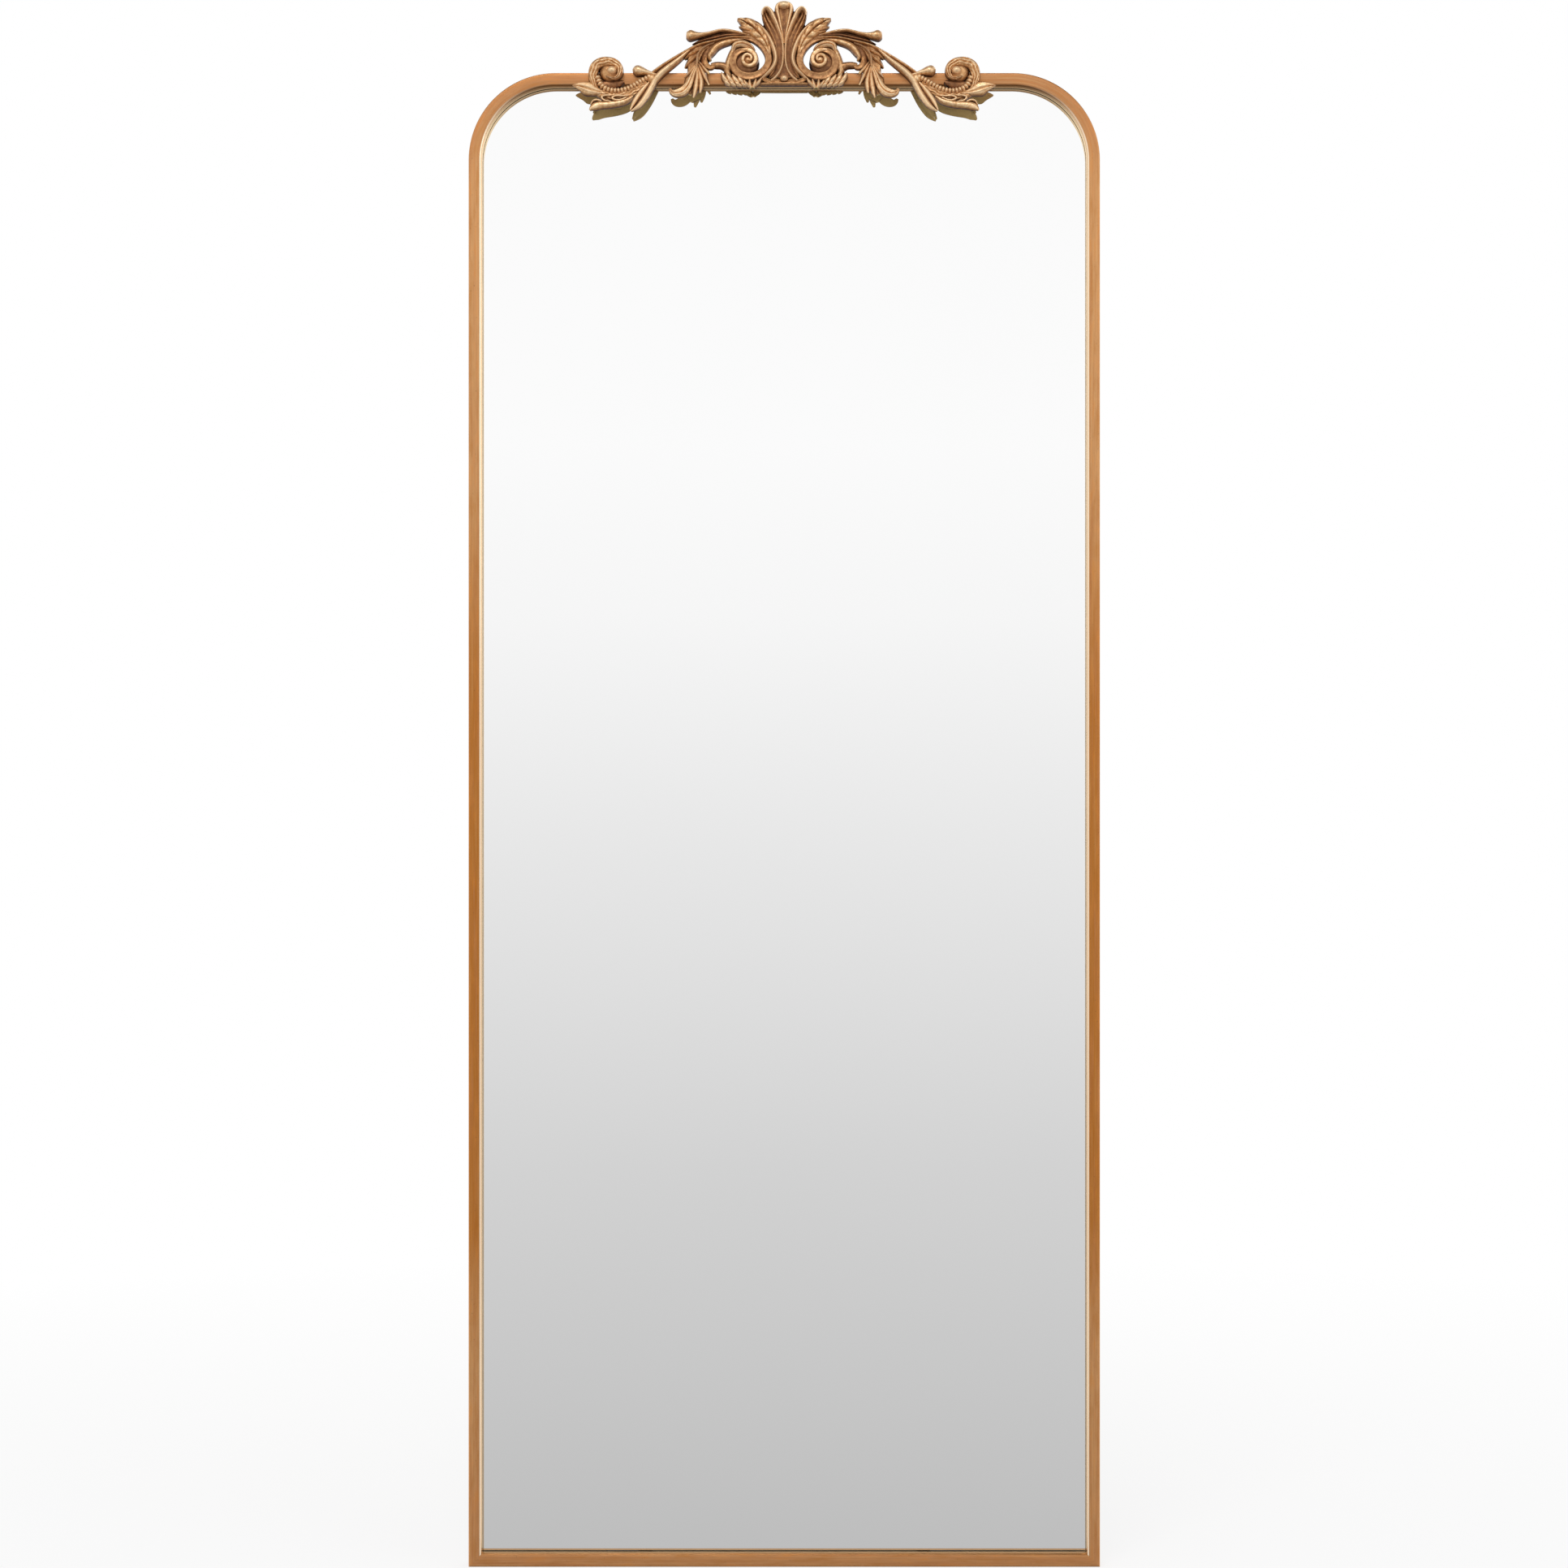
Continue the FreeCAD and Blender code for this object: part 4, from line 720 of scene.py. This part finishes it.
def swept_tube(path, outward, profile):
    """A profile carried along a path in the XZ plane: centre + across * outward, depth along Y.

    Returns the grid of points and the (run, girth) of each.
    """
    ring = profile[None, :, :]
    x = path[:, 0, None] + outward[:, 0, None] * ring[:, :, 0]
    z = path[:, 1, None] + outward[:, 1, None] * ring[:, :, 0]
    y = np.broadcast_to(ring[:, :, 1], x.shape)
    run = np.broadcast_arrays(lengths_along(path)[:, None], lengths_along(profile)[None, :])
    return np.stack((x, y, z), axis=-1), np.stack(run, axis=-1)


# Crest sections: height from 0 to 1 over (along, across), across from -1 to 1.

def round_edge(across, power):
    """1 in the middle and 0 at both edges, squarer for a higher power."""
    return np.sqrt(np.clip(1 - np.abs(across) ** power, 0, 1))


def bell(value, middle, width):
    """A bell curve of height 1."""
    return np.exp(-((value - middle) / width) ** 2)


def ripple(turns, power):
    """Ridges of height 1, one to each turn, keener for a higher power."""
    return (0.5 + 0.5 * np.cos(2 * np.pi * turns)) ** power


def rounded_section(along, across):
    """Half round."""
    return round_edge(across, 2)


def ribbon_section(along, across):
    """A flat ribbon with round edges."""
    return round_edge(across, 4)


def stem_section(along, across):
    """Half round with two grooves that run the stem's length."""
    return round_edge(across, 2) * (1 - 0.28 * bell(np.abs(across), 0.36, 0.12))


def hollow_section(along, across):
    """A shallow trough between two low edges."""
    return round_edge(across, 6) * (0.66 + 0.34 * across**2)


def band_section(along, across):
    """A flat band with a step at each edge and a shallow hollow between."""
    return round_edge(across, 8) * (0.86 + 0.14 * across**2)


def reeded_section(along, across):
    """A shallow trough scored by three lines along its run, which fade to its end."""
    fade = np.clip(1.2 - along, 0, 1)
    return hollow_section(along, across) * (1 - 0.3 * ripple(1.5 * across, 3) * fade)


def facet_section(along, across):
    """A steep face on one side of a soft ridge and a long slope on the other."""
    return round_edge(across, 4) * (0.48 + 0.52 * bell(across, 0.42, 0.42))


def lipped_section(along, across):
    """A soft ridge along the inner edge, with a steep inner face and a long slope outwards."""
    return round_edge(across, 4) * (0.46 + 0.54 * bell(across, -0.20, 0.72))


def finger_section(along, across):
    """A slim leaf finger: two slopes that meet in a keen ridge."""
    return np.clip(1 - np.abs(across) ** 1.4, 0, 1) ** 0.8


def leaf_section(along, across):
    """A broad leaf: a sunk middle vein with raised flanks."""
    vein = bell(across, 0.0, 0.13) * (0.4 + 0.6 * along)
    flank = bell(np.abs(across), 0.5, 0.12)
    return round_edge(across, 3) * (1 - 0.34 * vein - 0.16 * flank * along)


def veined_section(along, across):
    """A leaf with a sunk middle vein and side veins that slant to the tip, all fading along its run."""
    middle = bell(across, 0.0, 0.10)
    side = ripple(5 * along + 0.7 * np.abs(across), 4)
    fade = np.clip(1.3 - 1.2 * along, 0, 1)
    return round_edge(across, 3) * (1 - (0.40 * middle + 0.24 * side * (1 - middle)) * fade)


def waved_section(along, across):
    """A curl whose face is scored by wavering lines along its run."""
    wave = 1.7 * across + 0.22 * np.sin(2 * np.pi * 6 * along)
    return round_edge(across, 4) * (1 - 0.17 * ripple(wave, 2))


def crest_place(out, up, height):
    """Drawing to metres: out and up on the sheet, height forward of the crest's back."""
    sizes = bpy.context.scene.mirror_sizes
    scale = (CREST_HIGH.x - CREST_LOW.x) / (2 * sizes.crest_reach)
    share = (up - sizes.crest_foot) / (sizes.crest_top - sizes.crest_foot)
    x = np.clip(out * scale, CREST_LOW.x, CREST_HIGH.x)
    y = CREST_HIGH.y - (CREST_HIGH.y - CREST_LOW.y) * np.clip(height, 0, 1)
    z = np.clip(CREST_LOW.z + share * (CREST_HIGH.z - CREST_LOW.z), CREST_LOW.z, CREST_HIGH.z)
    return np.stack(np.broadcast_arrays(x, y, z), axis=-1)


def drawn_line(stations, step):
    """A smooth line through the stations: rows of (out, up, width, rise), a step apart."""
    drawn = np.array(stations, float)
    knots = lengths_along(drawn[:, :2])
    places = np.linspace(0, knots[-1], max(LEAST_ROWS, int(knots[-1] / step)))
    return places / knots[-1], natural_spline(knots, drawn, places)


def carved_form(stations, section, side=1, tone=0.0, lift=FLUSH, teeth=0, bite=0.0):
    """A lobe carried along a smooth line through its stations.

    Each row is a section across the line, its half width cut back by teeth along the edge,
    on a flat back that stands forward by lift, from its first share to its last.
    Tone darkens the whole form; on the low webs, hollows and floors it is painted shade in the gaps between
    forms.  Returns points, hollow values and which faces are the back.
    """
    along, line = drawn_line(stations, ROW_STEP)
    rows = len(line)
    columns = int(np.clip(2 * round(COLUMNS_PER_MM / 2 * line[:, 2].max()) + 3, *COLUMN_LIMITS))
    heading = np.gradient(line[:, :2], axis=0)
    heading /= np.linalg.norm(heading, axis=1, keepdims=True)
    along = along[:, None]
    across = np.linspace(-1, 1, columns)[None, :]
    notch = 0.5 - 0.5 * np.cos(2 * np.pi * teeth * along)
    half = np.clip(line[:, 2:3], LEAST_WIDTH, None) / 2 * (1 - bite * notch * np.abs(across))
    height = np.broadcast_to(section(along, across), (rows, columns))
    back = lift[0] + (lift[1] - lift[0]) * along
    out = line[:, 0:1] - heading[:, 1:2] * half * across
    up = line[:, 1:2] + heading[:, 0:1] * half * across
    points = crest_place(side * out, up, back + (line[:, 3:4] - back) * height)
    # Patina and painted crevice shade: darkest at the foot of the section.
    hollow = np.clip((1.0 - height) ** FORM_PATINA_AND_SHADE + tone, 0, 1)
    behind = np.zeros((rows - 1, columns), bool)
    behind[:, -1] = True
    return points, hollow, np.concatenate((behind.ravel(), (True, True)))


def carved_boss(place, side=1, tone=0.0, squash=1.0, rings=9, spokes=26, heading=(0.0, 1.0)):
    """A domed boss: a half ellipsoid on the crest's back, rings of latitude from rim to crown.

    Squash shortens it along its heading.  Returns what carved_form does.
    """
    out, up, radius, rise = place
    latitude = np.linspace(0, np.pi / 2, rings)[:, None]
    longitude = np.linspace(0, 2 * np.pi, spokes, endpoint=False)[None, :]
    spread = radius * np.cos(latitude)
    across = spread * np.cos(longitude)
    along = squash * spread * np.sin(longitude)
    wide = out + across * heading[1] + along * heading[0]
    high = up - across * heading[0] + along * heading[1]
    height = np.broadcast_to(np.sin(latitude), (rings, spokes))
    points = crest_place(side * wide, high, rise * height)
    # Patina and painted crevice shade: darkest at the boss's rim.
    hollow = np.clip((1 - height) ** BOSS_PATINA_AND_SHADE + tone, 0, 1)
    behind = np.zeros((rings - 1) * spokes + 2, bool)
    behind[-2] = True
    return points, hollow, behind


def carved_beads(stations, side, count):
    """A string of beads: like domes spaced evenly along the stations' line, wider across it than along it."""
    run, line = drawn_line(stations, BEAD_STEP)
    evenly = np.linspace(0, 1, count)
    places = np.stack([np.interp(evenly, run, line[:, part]) for part in (0, 1, 3)], axis=1)
    heading = np.gradient(places[:, :2], axis=0)
    heading /= np.linalg.norm(heading, axis=1, keepdims=True)
    radius = BEAD_RADIUS * np.hypot(*np.diff(places[:, :2], axis=0).T).mean()
    return [
        carved_boss((out, up, radius, rise), side, squash=0.64, rings=6, spokes=14, heading=way)
        for (out, up, rise), way in zip(places, heading)]


def each(group, *rest):
    """A group's lines, each with the same section, tone and lift."""
    return [(stations, *rest) for stations in group]


# Forms of one half: (stations, section, tone), then lift, teeth and bite where it has them.
# A form with no section is a boss: (place, None, tone), then its squash.
# A high tone on a web, hollow or floor is painted shade in the gap between forms.
HALF_FORMS = (
    (SIDE_FACE, reeded_section, 0.17),
    (SIDE_RIDGE, lipped_section, -0.08),
    (SCROLL_BAND, band_section, 0.33),
    (GREAT_LEAF, veined_section, 0.13),
    (LEAF_CREASE, finger_section, 0.0),
    (SCROLL_RIM, lipped_section, -0.10),
    (SCROLL_FLOOR, None, 0.5),
    (SCROLL_EYE, None, 0.16),
    (EYE_SPIRAL, ribbon_section, 0.12),
    (SCROLL_BUD, leaf_section, 0.02),
    (ARCH_HOLLOW, stem_section, 0.5),
    (ARCH_TRUMPET, rounded_section, 0.14),
    (LONG_STEM, facet_section, 0.16),
    (STEM_LIGHT, rounded_section, 0.02),
    (STEM_KNOT, None, 0.15),
    (DROP_BODY, hollow_section, 0.15),
    (DROP_SPINE, finger_section, 0.0),
    (DROP_MAIN, leaf_section, 0.02, HUNG),
    (DROP_CENTRE, finger_section, 0.0, HUNG),
    (CURL_WEB, rounded_section, 0.45),
    (CURL_STRIP, rounded_section, 0.17),
    (CURL_CUP, hollow_section, 0.1),
    (BRIDGE, rounded_section, 0.36),
    (OUTER_RING, rounded_section, 0.2),
    (RUFFLE_LEDGE, rounded_section, 0.4),
    (BASE_FOOT, hollow_section, 0.1),
    (POD_FLOOR, rounded_section, 0.55, (0.0, 0.4)),
    (POD_LEFT, rounded_section, -0.06, HUNG),
    (POD_RIGHT, rounded_section, -0.06, HUNG),
    (SPROUT, rounded_section, 0.06),
    (BEAD_BED, rounded_section, 0.4),
    (GARLAND_BODY, waved_section, 0.14),
    (SNAIL_WEB, rounded_section, 0.5),
    (SNAIL_FLOOR, None, 0.22),
    (SNAIL_BAND, waved_section, 0.10),
    (SNAIL_EYE, None, -0.05, 0.85),
    (OUTER_LEAF, leaf_section, 0.04, HUNG, 2, 0.16),
    (LOWER_LEAF, rounded_section, 0.08, HUNG),
    *each(LEAF_LOBES, finger_section, 0.06),
    *each(DROP_LEFT[:2], finger_section, 0.13),
    (DROP_LEFT[2], finger_section, 0.0),
    *each(DROP_RIGHT, finger_section, 0.0, HUNG),
    *each(RUFFLE, rounded_section, 0.04),
    *each(TUFT, finger_section, 0.0, FRINGE),
    *each(LEAF_LOOPS, rounded_section, 0.02, FRINGE),
)


def middle_forms():
    """Forms on the middle line."""
    return [
        # The palmette's web takes a high tone: painted shade behind the palmette.
        carved_form(PALMETTE_WEB, rounded_section, tone=0.5),
        carved_form(MIDDLE_CHANNEL, hollow_section, tone=0.22),
        carved_form(HOOD, rounded_section),
        carved_form(BASE_BAR, rounded_section, tone=0.3),
        carved_boss(TOP_KNOB, squash=0.62),
        carved_boss(BOTTOM_BEAD, squash=0.8),
    ]


def side_forms(side):
    """Forms of one half; side is -1 for the left and 1 for the right."""
    forms = [
        carved_boss(shape, side, *rest) if section is None else carved_form(shape, section, side, *rest)
        for shape, section, *rest in HALF_FORMS]
    return forms + carved_beads(BEAD_LINE, side, bpy.context.scene.mirror_sizes.bead_count)


# Operators

class MIRROR_OT_frame(bpy.types.Operator):
    """Carries the rounded tube round the hoop and along the bottom rail"""

    bl_idname = "mirror.frame"
    bl_label = "Frame Tube"

    def execute(self, context):
        sizes = context.scene.mirror_sizes
        edge = sizes.edge_radius
        corners = rounded_profile(TUBE_FACE, TUBE_DEPTH, (edge, edge, sizes.sight_radius, edge))
        depth = HOOP_LOW.y + np.array(INNER_SHARES) * GLASS_RECESS
        inner = np.stack((np.full(len(depth), -TUBE_FACE / 2), depth), axis=1)
        back = 2 * PROFILE_STEPS
        profile = np.concatenate((corners[:back], inner, corners[back:]))
        brass = brushed_brass(context.scene.mirror_colours)
        self.bend_hoop(sizes.corner_radius, profile, brass)
        self.lay_rail(profile, brass)
        return {"FINISHED"}

    @staticmethod
    def bend_hoop(corner_radius, profile, brass):
        """Up one stile, round both bends and down the other, mitred at the feet.

        There a point is as high as it is far in from the frame's outer edge.
        """
        side = HOOP_HIGH.x - TUBE_FACE / 2
        top = HOOP_HIGH.z - TUBE_FACE / 2
        bend = corner_radius - TUBE_FACE / 2
        left = arc_points((bend - side, top - bend), bend, 180, 90, BEND_STEPS)
        right = arc_points((side - bend, top - bend), bend, 90, 0, BEND_STEPS)
        path = np.concatenate(([(-side, TUBE_FACE / 2)], left, right, [(side, TUBE_FACE / 2)]))
        bends = (np.linspace(180, 90, BEND_STEPS), np.linspace(90, 0, BEND_STEPS))
        turn = np.radians(np.concatenate(([180], *bends, [0])))
        outward = np.stack((np.cos(turn), np.sin(turn)), axis=1)
        points, run = swept_tube(path, outward, profile)
        points[[0, -1], :, 2] = RAIL_LOW.z + HOOP_HIGH.x - np.abs(points[[0, -1], :, 0])
        upright = outward[:, 0:1] ** 2
        level = outward[:, 1:2] ** 2
        count = len(profile)
        # Painted highlight on the upright stiles and painted shade on the level parts, weighted by the tube's
        # direction.
        marks = {
            "polish_and_painted_highlight": marked(count, *STILE_POLISH_AND_HIGHLIGHT) * upright + marked(count, *RAIL_POLISH_AND_HIGHLIGHT) * level,
            "shade": marked(count, *STILE_SHADE) * upright + marked(count, *RAIL_SHADE) * level,
        }
        faces = capped_tube_faces(*points.shape[:2])
        new_piece(
            "frame_tube", points, faces, (brass,), ("frame_hoop",),
            uv=run, marks=marks)

    @staticmethod
    def lay_rail(profile, brass):
        """From stile to stile; an end point is as far in from the outer edge as it is high."""
        ends = np.array((HOOP_LOW.x + TUBE_FACE / 2, HOOP_HIGH.x - TUBE_FACE / 2))
        path = np.stack((ends, np.full(2, RAIL_LOW.z + TUBE_FACE / 2)), axis=1)
        points, run = swept_tube(path, np.array(((0.0, -1.0), (0.0, -1.0))), profile)
        points[:, :, 0] = np.sign(ends)[:, None] * (HOOP_HIGH.x - points[:, :, 2] + RAIL_LOW.z)
        # The rail takes the level parts' painted shade and painted highlight.
        marks = {
            "polish_and_painted_highlight": np.tile(marked(len(profile), *RAIL_POLISH_AND_HIGHLIGHT), (2, 1)),
            "shade": np.tile(marked(len(profile), *RAIL_SHADE), (2, 1)),
        }
        faces = capped_tube_faces(*points.shape[:2])
        new_piece(
            "frame_bottom", points, faces, (brass,), ("bottom_rail",),
            uv=run, marks=marks)


class MIRROR_OT_glass(bpy.types.Operator):
    """Silvered pane with a ground edge: the outline drawn at four depths and joined"""

    bl_idname = "mirror.glass"
    bl_label = "Silvered Pane"

    def execute(self, context):
        sizes = context.scene.mirror_sizes
        bevel = sizes.glass_bevel
        reach = HOOP_HIGH.x - TUBE_FACE - sizes.glass_gap
        top = HOOP_HIGH.z - TUBE_FACE - sizes.glass_gap
        radius = sizes.corner_radius - TUBE_FACE - sizes.glass_gap
        depths = (PANE_LOW.y, PANE_LOW.y + bevel, PANE_HIGH.y - bevel, PANE_HIGH.y)
        loops = []
        for cut, depth in zip((bevel, 0.0, 0.0, bevel), depths):
            left = arc_points((radius - reach, top - radius), radius - cut, 180, 90, PANE_STEPS)
            right = arc_points((reach - radius, top - radius), radius - cut, 90, 0, PANE_STEPS)
            foot = PANE_LOW.z + cut
            outline = np.concatenate(([(cut - reach, foot)], left, right, [(reach - cut, foot)]))
            loops.append(np.insert(outline, 1, depth, axis=1))
        points = np.stack(loops)
        faces = capped_tube_faces(*points.shape[:2])
        silver = silvered_glass(context.scene.mirror_colours)
        new_piece("silvered_pane", points, faces, (silver,), ("mirror_pane",), sharp=25.0)
        return {"FINISHED"}


class MIRROR_OT_crest(bpy.types.Operator):
    """Cast crest: carved lobes, scrolls, leaves and beads on one flat back"""

    bl_idname = "mirror.crest"
    bl_label = "Cast Crest"

    def execute(self, context):
        colours = context.scene.mirror_colours
        step = context.scene.mirror_sizes.back_step
        halves = zip(side_forms(-1), side_forms(1))
        forms = middle_forms() + [form for pair in halves for form in pair]
        points, faces = [], []
        count = 0
        grids, hollows, backs = zip(*forms)
        for order, grid in enumerate(grids):
            grid[:, :, 1] = np.minimum(grid[:, :, 1], CREST_HIGH.y - step * order)
            faces += capped_tube_faces(*grid.shape[:2], count)
            points.append(grid.reshape(-1, 3))
            count += len(points[-1])
        hollow = np.concatenate([values.ravel() for values in hollows])
        rough = grained(
            "raw_cast_back", colours.cast_back, scale=600.0, roughness=0.7,
            shades=((0.35, 0.88), (0.65, 1.0)), strength=0.08, Metallic=0.2)
        new_piece(
            "crest_carving", np.concatenate(points), faces, (cast_brass(colours), rough),
            ("crest_casting",), marks={"hollow": hollow}, behind=np.concatenate(backs),
            sharp=60.0)
        return {"FINISHED"}


class MIRROR_OT_back(bpy.types.Operator):
    """Finishes for the board, tape, packers, tabs and bumpers"""

    bl_idname = "mirror.back"
    bl_label = "Back and Fixings"

    def execute(self, context):
        colours = context.scene.mirror_colours
        dress(fibre_board(colours), "backing_board")
        dress(grained("white_foam", colours.foam, scale=900.0, roughness=0.9), "mirror_tape")
        dress(grained("packer_plastic", colours.packer, scale=600.0, roughness=0.55), "glass_packers")
        dress(sprayed_brass(colours), "board_tabs", "hanger_plates")
        dress(grained("black_rubber", colours.rubber, scale=1200.0, roughness=0.7), "wall_bumpers")
        return {"FINISHED"}


class MIRROR_OT_hangers(bpy.types.Operator):
    """Zinc finish for the ring hangers and every screw"""

    bl_idname = "mirror.hangers"
    bl_label = "Hangers and Screws"

    def execute(self, context):
        zinc = zinc_plate(context.scene.mirror_colours)
        dress(zinc, "left_hanger_strap", "right_hanger_strap", "left_hanger_ring", "right_hanger_ring")
        dress(zinc, "board_screws", "crest_screws", "hanger_screws")
        return {"FINISHED"}


class MIRROR_OT_stage(bpy.types.Operator):
    """Pale floor, soft lamps, white surroundings and the photograph's camera"""

    bl_idname = "mirror.stage"
    bl_label = "Stage"

    def execute(self, context):
        self.lay_floor(context.scene)
        self.set_world(context.scene)
        for lamp in LAMPS:
            self.hang_lamp(context.scene, *lamp)
        self.place_camera(context.scene)
        return {"FINISHED"}

    @staticmethod
    def lay_floor(scene):
        """A flat square that is white to the eye and takes a faint shadow."""
        corners = FLOOR_REACH * np.array(((-1, -1, 0), (1, -1, 0), (1, 1, 0), (-1, 1, 0)))
        mesh = bpy.data.meshes.new("floor")
        mesh.from_pydata(corners.tolist(), [], [(0, 1, 2, 3)])
        material, tree, shader, place = new_material(
            "pale_floor", Base_Color=(*scene.mirror_colours.floor, 1.0), Roughness=0.9)
        seen = node(tree, "ShaderNodeLightPath").outputs["Is Camera Ray"]
        white = node(tree, "ShaderNodeEmission", {"Color": (1.0, 1.0, 1.0, 1.0), "Strength": 1.0})
        apart = node(tree, "ShaderNodeVectorMath", {0: place.outputs["Object"]}, operation="LENGTH")
        fade = remapped(tree, apart.outputs["Value"], 0.5, 3.0, 0.80, 1.0)
        share = maths(tree, "MULTIPLY", seen, fade)
        both = node(tree, "ShaderNodeMixShader", {0: share, 1: shader.outputs[0], 2: white.outputs[0]})
        tree.links.new(both.outputs[0], tree.nodes["Material Output"].inputs["Surface"])
        mesh.materials.append(material)
        floor = bpy.data.objects.new("floor", mesh)
        floor.visible_glossy = False
        scene.collection.objects.link(floor)

    @staticmethod
    def set_world(scene):
        """White to the camera.

        To light, a pale wall in front that greys downwards, white sides, a dim top and foot.
        """
        world = bpy.data.worlds.new("studio")
        world.use_nodes = True
        tree = world.node_tree
        tree.nodes.clear()
        way = node(tree, "ShaderNodeTexCoord").outputs["Generated"]
        parts = node(tree, "ShaderNodeSeparateXYZ", {"Vector": way})
        rise = remapped(tree, parts.outputs["Z"], -0.25, 0.15, 0.0, 1.0)
        wall = ramp(tree, rise, [(share, grey(value)) for share, value in FRONT_WALL])
        ahead = remapped(tree, parts.outputs["Y"], -0.80, -0.95, 0.0, 1.0)
        aside = maths(tree, "ABSOLUTE", parts.outputs["X"])
        upright = maths(tree, "ABSOLUTE", parts.outputs["Z"])
        sides = mixed(tree, remapped(tree, aside, 0.25, 0.60, 0.0, 1.0), grey(BACK_WALL), grey(SIDE_WALLS))
        round_about = mixed(tree, remapped(tree, upright, 0.45, 0.80, 0.0, 1.0), sides, grey(TOP_AND_FOOT))
        room = mixed(tree, ahead, round_about, wall)
        seen = node(tree, "ShaderNodeLightPath").outputs["Is Camera Ray"]
        shown = mixed(tree, seen, room, grey(1.0))
        sky = node(tree, "ShaderNodeBackground", {"Color": shown, "Strength": 1.0})
        node(tree, "ShaderNodeOutputWorld", {"Surface": sky.outputs["Background"]})
        scene.world = world

    @staticmethod
    def hang_lamp(scene, name, place, turn, size, power):
        """A square soft lamp."""
        lamp = bpy.data.lights.new(name, "AREA")
        lamp.size = size
        lamp.energy = power
        made = bpy.data.objects.new(name, lamp)
        made.location = place
        made.rotation_euler = np.radians(turn)
        scene.collection.objects.link(made)

    @staticmethod
    def place_camera(scene):
        """Square on to the glass; the shift puts the middle of the picture where the photograph has it."""
        sizes = scene.mirror_sizes
        lens = bpy.data.cameras.new("photo_camera")
        lens.lens = lens.sensor_width * sizes.camera_distance / sizes.picture_width
        lens.shift_x = sizes.shift_across
        lens.shift_y = sizes.shift_up
        camera = bpy.data.objects.new("photo_camera", lens)
        camera.location = (sizes.camera_side, HOOP_LOW.y - sizes.camera_distance, sizes.camera_height)
        camera.rotation_euler = (np.pi / 2, 0.0, 0.0)
        scene.collection.objects.link(camera)
        scene.camera = camera
        scene.view_settings.view_transform = "Standard"


class MIRROR_PT_panel(bpy.types.Panel):
    """Lists the mirror's pieces and settings"""

    bl_idname = "MIRROR_PT_panel"
    bl_label = "Full-Length Mirror"
    bl_space_type = "VIEW_3D"
    bl_region_type = "UI"
    bl_category = "Mirror"

    def draw(self, context):
        for operator in OPERATORS:
            self.layout.operator(operator.bl_idname)
        for group in (context.scene.mirror_sizes, context.scene.mirror_colours):
            for name in group.__annotations__:
                self.layout.prop(group, name)


OPERATORS = (
    MIRROR_OT_frame, MIRROR_OT_glass, MIRROR_OT_crest, MIRROR_OT_back, MIRROR_OT_hangers, MIRROR_OT_stage)
CLASSES = (MirrorSizes, MirrorColours, *OPERATORS, MIRROR_PT_panel)


def register():
    for cls in CLASSES:
        bpy.utils.register_class(cls)
    bpy.types.Scene.mirror_sizes = PointerProperty(type=MirrorSizes)
    bpy.types.Scene.mirror_colours = PointerProperty(type=MirrorColours)


def unregister():
    del bpy.types.Scene.mirror_colours
    del bpy.types.Scene.mirror_sizes
    for cls in reversed(CLASSES):
        bpy.utils.unregister_class(cls)


def main():
    """Makes every piece."""
    register()
    bpy.ops.mirror.frame()
    bpy.ops.mirror.glass()
    bpy.ops.mirror.crest()
    bpy.ops.mirror.back()
    bpy.ops.mirror.hangers()
    bpy.ops.mirror.stage()


if __name__ == "__main__":
    main()
